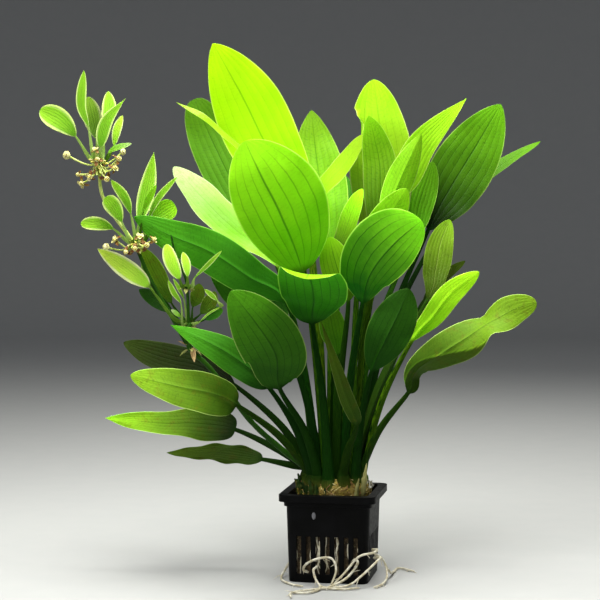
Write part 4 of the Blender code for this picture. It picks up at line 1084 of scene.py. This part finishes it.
def growing_medium():
    """A fibrous block inside the pot, with pale roots down its sides behind the slots."""
    rng = random.Random(5)
    form = bmesh.new()
    loops = []
    corner = CORNER - WALL - 0.3
    for k in range(SIDE_RINGS + 1):
        height = MEDIUM_LOW + (MEDIUM_HIGH - MEDIUM_LOW) * k / SIDE_RINGS
        ring = even_ring(inner_side(height) - MEDIUM_GAP, height, corner, MEDIUM_POINTS)
        for point in ring:
            push = 0.8 * noise.noise(point * 0.35) + 0.5 * noise.noise(point * 1.1)
            point -= Vector((point.x, point.y, 0)).normalized() * (0.5 + push)
        loops.append([form.verts.new(p) for p in ring])
    for k in range(1, TOP_RINGS):
        ring = even_ring(inner_side(MEDIUM_TOP) - MEDIUM_GAP, MEDIUM_TOP, corner, MEDIUM_POINTS)
        for point in ring:
            point.x *= 1 - k / TOP_RINGS
            point.y *= 1 - k / TOP_RINGS
            point.z += 0.9 * noise.noise(point * 0.22) + 0.6 * noise.noise(point * 0.8)
        loops.append([form.verts.new(p) for p in ring])
    join_rings(form, loops)
    half = inner_side(20) / 2 - 0.9
    for k in range(SLOT_ROOTS):
        run = rng.uniform(-30, 30)
        start, end = rng.uniform(34, 50), rng.uniform(5, 20)
        route = []
        for i in range(5):
            z = start + (end - start) * i / 4
            spot = Vector((run + rng.uniform(-2.0, 2.0), -(half - 0.2 + (z - 20) * 0.025), z))
            route.append(Matrix.Rotation(math.pi / 2 * (k % 4), 3, "Z") @ spot)
        tube(form, route, (0.55, 0.7, 0.45), 6, 4, 0.3, k, 1)
    for k in range(STRANDS):
        a, b = rng.uniform(0, 6.28), rng.uniform(0, 6.28)
        r = rng.uniform(20, 34)
        start = Vector((r * math.cos(a), r * math.sin(a), 73.6))
        way = Vector((math.cos(b), math.sin(b), 0)) * rng.uniform(4, 9)
        lift = Vector((0, 0, rng.uniform(0.3, 1.6)))
        route = [start, start + way * 0.5 + lift, start + way]
        if all(max(abs(p.x), abs(p.y)) < STRANDS_WITHIN for p in route):
            tube(form, route, (0.3, 0.35, 0.15), 5, 3, index=2)
    turn_with_pot(form)
    materials = [
        plain_material("medium_fibre", (0.018, 0.012, 0.006), (0.075, 0.050, 0.026), 260.0, 0.85, 0.0012,
                       third=(0.15, 0.12, 0.06)),
        plain_material("medium_roots", (0.45, 0.40, 0.26), (0.80, 0.76, 0.62), 180.0, 0.5, 0.0002),
        plain_material("medium_strands", (0.16, 0.09, 0.04), (0.42, 0.28, 0.12), 260.0, 0.7, 0.0003),
    ]
    show("fine_growing_medium", form, materials, "growing_medium")


# Radius and height of the crown's rings, and its old sheaths: foot, lean, radius, height and material
CROWN_PROFILE = [
    (33.0, 74.3), (33.8, 77), (34.0, 80), (33.2, 84), (31.5, 88), (28.5, 91), (23, 92.6), (16, 93.4),
    (9, 93.8), (3, 94),
]
CROWN_POINTS = 120
FIBRES = 420
ROOTLETS = 9
OLD, CURLED, DRY = 4, 5, 6
SHEATHS = (
    (-27, -14, 82, -7, -4, 3.2, 10, OLD), (-23, -20, 82, -6, -5, 3.0, 9, OLD),
    (-30, -4, 81, -6, 1, 2.8, 9, OLD), (-15, -27, 80, -2, -4, 2.8, 9, OLD),
    (-19, -25, 81, -4, -4, 3.2, 12, OLD), (-28, -9, 83, -5, -2, 2.8, 13, OLD),
    (-8, -30, 79, -1, -3, 2.2, 7, OLD), (-25, 12, 82, -6, 3, 2.8, 7, OLD), (10, 29, 82, 2, 5, 2.6, 7, OLD),
    (25, -22, 82, 4, -2, 2.4, 25, DRY), (19, -27, 81, 3, -2, 2.0, 13, DRY),
)


def crown():
    """The fibrous rootstock, old sheath stubs on its left and curled white rootlets on its right."""
    rng = random.Random(3)
    form = bmesh.new()
    loops = []
    for radius, height in CROWN_PROFILE:
        loop = []
        for turn in turns(CROWN_POINTS):
            point = Vector((radius * math.cos(turn), radius * math.sin(turn), height))
            push = 1.3 * noise.noise(point * 0.16) + 0.9 * noise.noise(point * 0.5) - 0.6
            loop.append(form.verts.new(point + point.normalized() * push))
        loops.append(loop)
    join_rings(form, loops)
    for k in range(FIBRES):
        a = rng.uniform(0, 6.28)
        z = rng.uniform(75, 91)
        r = 33.6 - max(z - 82, 0) * 0.42
        turn = rng.uniform(-0.28, 0.28)
        rise = rng.uniform(-5, 6)
        route = []
        for i in range(4):
            t = i / 3
            height = min(max(z + rise * t, 74.9), 92)
            radius = r - max(height - 84, 0) * 0.25 + 0.5 * math.sin(3.1 * t) + rng.uniform(-0.2, 0.5)
            route.append((radius * math.cos(a + turn * t), radius * math.sin(a + turn * t), height))
        tube(form, route, (0.25, 0.45, 0.2), 5, 3, 0.3, k, 1 + k % 3)
    for x, y, z, lean_x, lean_y, radius, tall, index in SHEATHS:
        route = [(x, y, z - 6), (x + lean_x * 0.5, y + lean_y * 0.5, z + 0.4 * tall),
                 (x + lean_x, y + lean_y, z + tall)]
        tube(form, route, (radius * 1.3, radius, radius * 0.2), 14, 6, 0.45, x, index)
    for k in range(ROOTLETS):
        x = rng.uniform(29, 34)
        y = rng.uniform(-16, 2)
        route = [(x - 3, y, 82)]
        for i in range(4):
            route.append((x + rng.uniform(-1, 4), y + rng.uniform(-3, 3), 83 + i * rng.uniform(1.2, 2.6)))
        tube(form, route, (0.5, 0.5, 0.3), 6, 5, 0.3, k, CURLED)
    materials = [
        plain_material("crown_body", (0.14, 0.09, 0.012), (0.34, 0.26, 0.05), 150.0, 0.7, 0.0008,
                       third=(0.09, 0.05, 0.01)),
        plain_material("crown_cream", (0.52, 0.42, 0.14), (0.78, 0.68, 0.32), 200.0, 0.6, glow=0.15),
        plain_material("crown_yellow", (0.26, 0.19, 0.02), (0.48, 0.37, 0.06), 200.0, 0.6, glow=0.15),
        plain_material("crown_brown", (0.16, 0.08, 0.02), (0.34, 0.20, 0.07), 200.0, 0.7),
        plain_material("old_sheath", (0.008, 0.024, 0.004), (0.030, 0.060, 0.010), 120.0, 0.7, 0.0005,
                       third=(0.09, 0.08, 0.015), stretch=(1.0, 1.0, 0.25), specular=0.08),
        plain_material("curled_roots", (0.62, 0.60, 0.50), (0.85, 0.83, 0.76), 180.0, 0.5, 0.0002, glow=0.2),
        plain_material("dry_sheath", (0.20, 0.20, 0.05), (0.40, 0.38, 0.14), 120.0, 0.6, 0.0004,
                       stretch=(1.0, 1.0, 0.2), glow=0.2),
    ]
    show("fine_crown", form, materials, "crown")


# Camera, floor and lights, in metres and watts

CAMERA_PLACE = (-0.031, -1.636, 0.340)
CAMERA_TARGET = (-0.031, 0.0, 0.253)
FLOOR_FLAT = 3.0
COVE = 1.5
COVE_STEPS = 12
WALL_TOP = 4.0
FLOOR_POINTS = 96
LAMPS = (
    ("top", (-0.03, -0.15, 1.10), (-0.03, 0.0, 0.25), 0.70, 26.0, (1.0, 1.0, 0.93)),
    ("back", (0.30, 1.1, 1.3), (-0.03, 0.0, 0.42), 0.8, 10.0, (1.0, 1.0, 0.92)),
    ("left", (-0.55, -0.45, 0.90), (-0.20, -0.04, 0.34), 0.35, 4.0, (1.0, 1.0, 0.94)),
    ("front", (-1.0, -2.2, 1.5), (-0.03, 0.0, 0.30), 1.4, 16.0, (0.98, 0.99, 1.0)),
)


def add_object(name, data, place, target):
    """An object at a place that looks at a target."""
    made = bpy.data.objects.new(name, data)
    bpy.context.scene.collection.objects.link(made)
    made.location = place
    made.rotation_euler = (Vector(target) - Vector(place)).to_track_quat("-Z", "Y").to_euler()
    return made


def studio():
    """The photo's viewing angle, a plain pale floor that curves up into a wall, and soft lamps."""
    camera = add_object("camera", bpy.data.cameras.new("camera"), CAMERA_PLACE, CAMERA_TARGET)
    camera.data.lens = 108.0
    camera.data.sensor_width = 36.0
    camera.data.clip_start = 0.05
    camera.data.clip_end = 50.0
    bpy.context.scene.camera = camera

    g = Graph("floor")
    tint = g.mix(g.noise(g.place(), 30.0, 4.0), (0.37, 0.375, 0.38), (0.40, 0.40, 0.40))
    form = bmesh.new()
    profile = [(FLOOR_FLAT * k / 4, 0.0) for k in range(1, 5)]
    for k in range(1, COVE_STEPS + 1):
        turn = math.pi / 2 * k / COVE_STEPS
        profile.append((FLOOR_FLAT + COVE * math.sin(turn), COVE * (1 - math.cos(turn))))
    profile.append((FLOOR_FLAT + COVE, WALL_TOP))
    loops = []
    for radius, height in profile:
        ring = [(radius * math.cos(a), radius * math.sin(a), height) for a in turns(FLOOR_POINTS)]
        loops.append([form.verts.new(p) for p in ring])
    form.faces.new(loops[0])
    for low, high in zip(loops, loops[1:]):
        for n in range(FLOOR_POINTS):
            m = (n + 1) % FLOOR_POINTS
            form.faces.new((low[n], high[n], high[m], low[m]))
    mesh = bpy.data.meshes.new("floor")
    form.to_mesh(mesh)
    form.free()
    mesh.materials.append(g.finish(tint, 0.8, 0.1))
    mesh.shade_smooth()
    floor = bpy.data.objects.new("floor", mesh)
    bpy.context.scene.collection.objects.link(floor)

    world = bpy.data.worlds.new("studio")
    world.use_nodes = True
    backdrop = world.node_tree.nodes["Background"]
    backdrop.inputs[0].default_value = (0.86, 0.90, 0.95, 1.0)
    backdrop.inputs[1].default_value = 0.25
    bpy.context.scene.world = world

    for name, place, target, size, power, colour in LAMPS:
        lamp = add_object(name, bpy.data.lights.new(name, "AREA"), place, target)
        lamp.data.shape = "DISK"
        lamp.data.size = size
        lamp.data.energy = power
        lamp.data.color = colour
        lamp.visible_camera = False
    bpy.context.scene.view_settings.view_transform = "Standard"


studio()
rosette()
plantlets()
flower_stalk()
roots()
pot()
growing_medium()
crown()
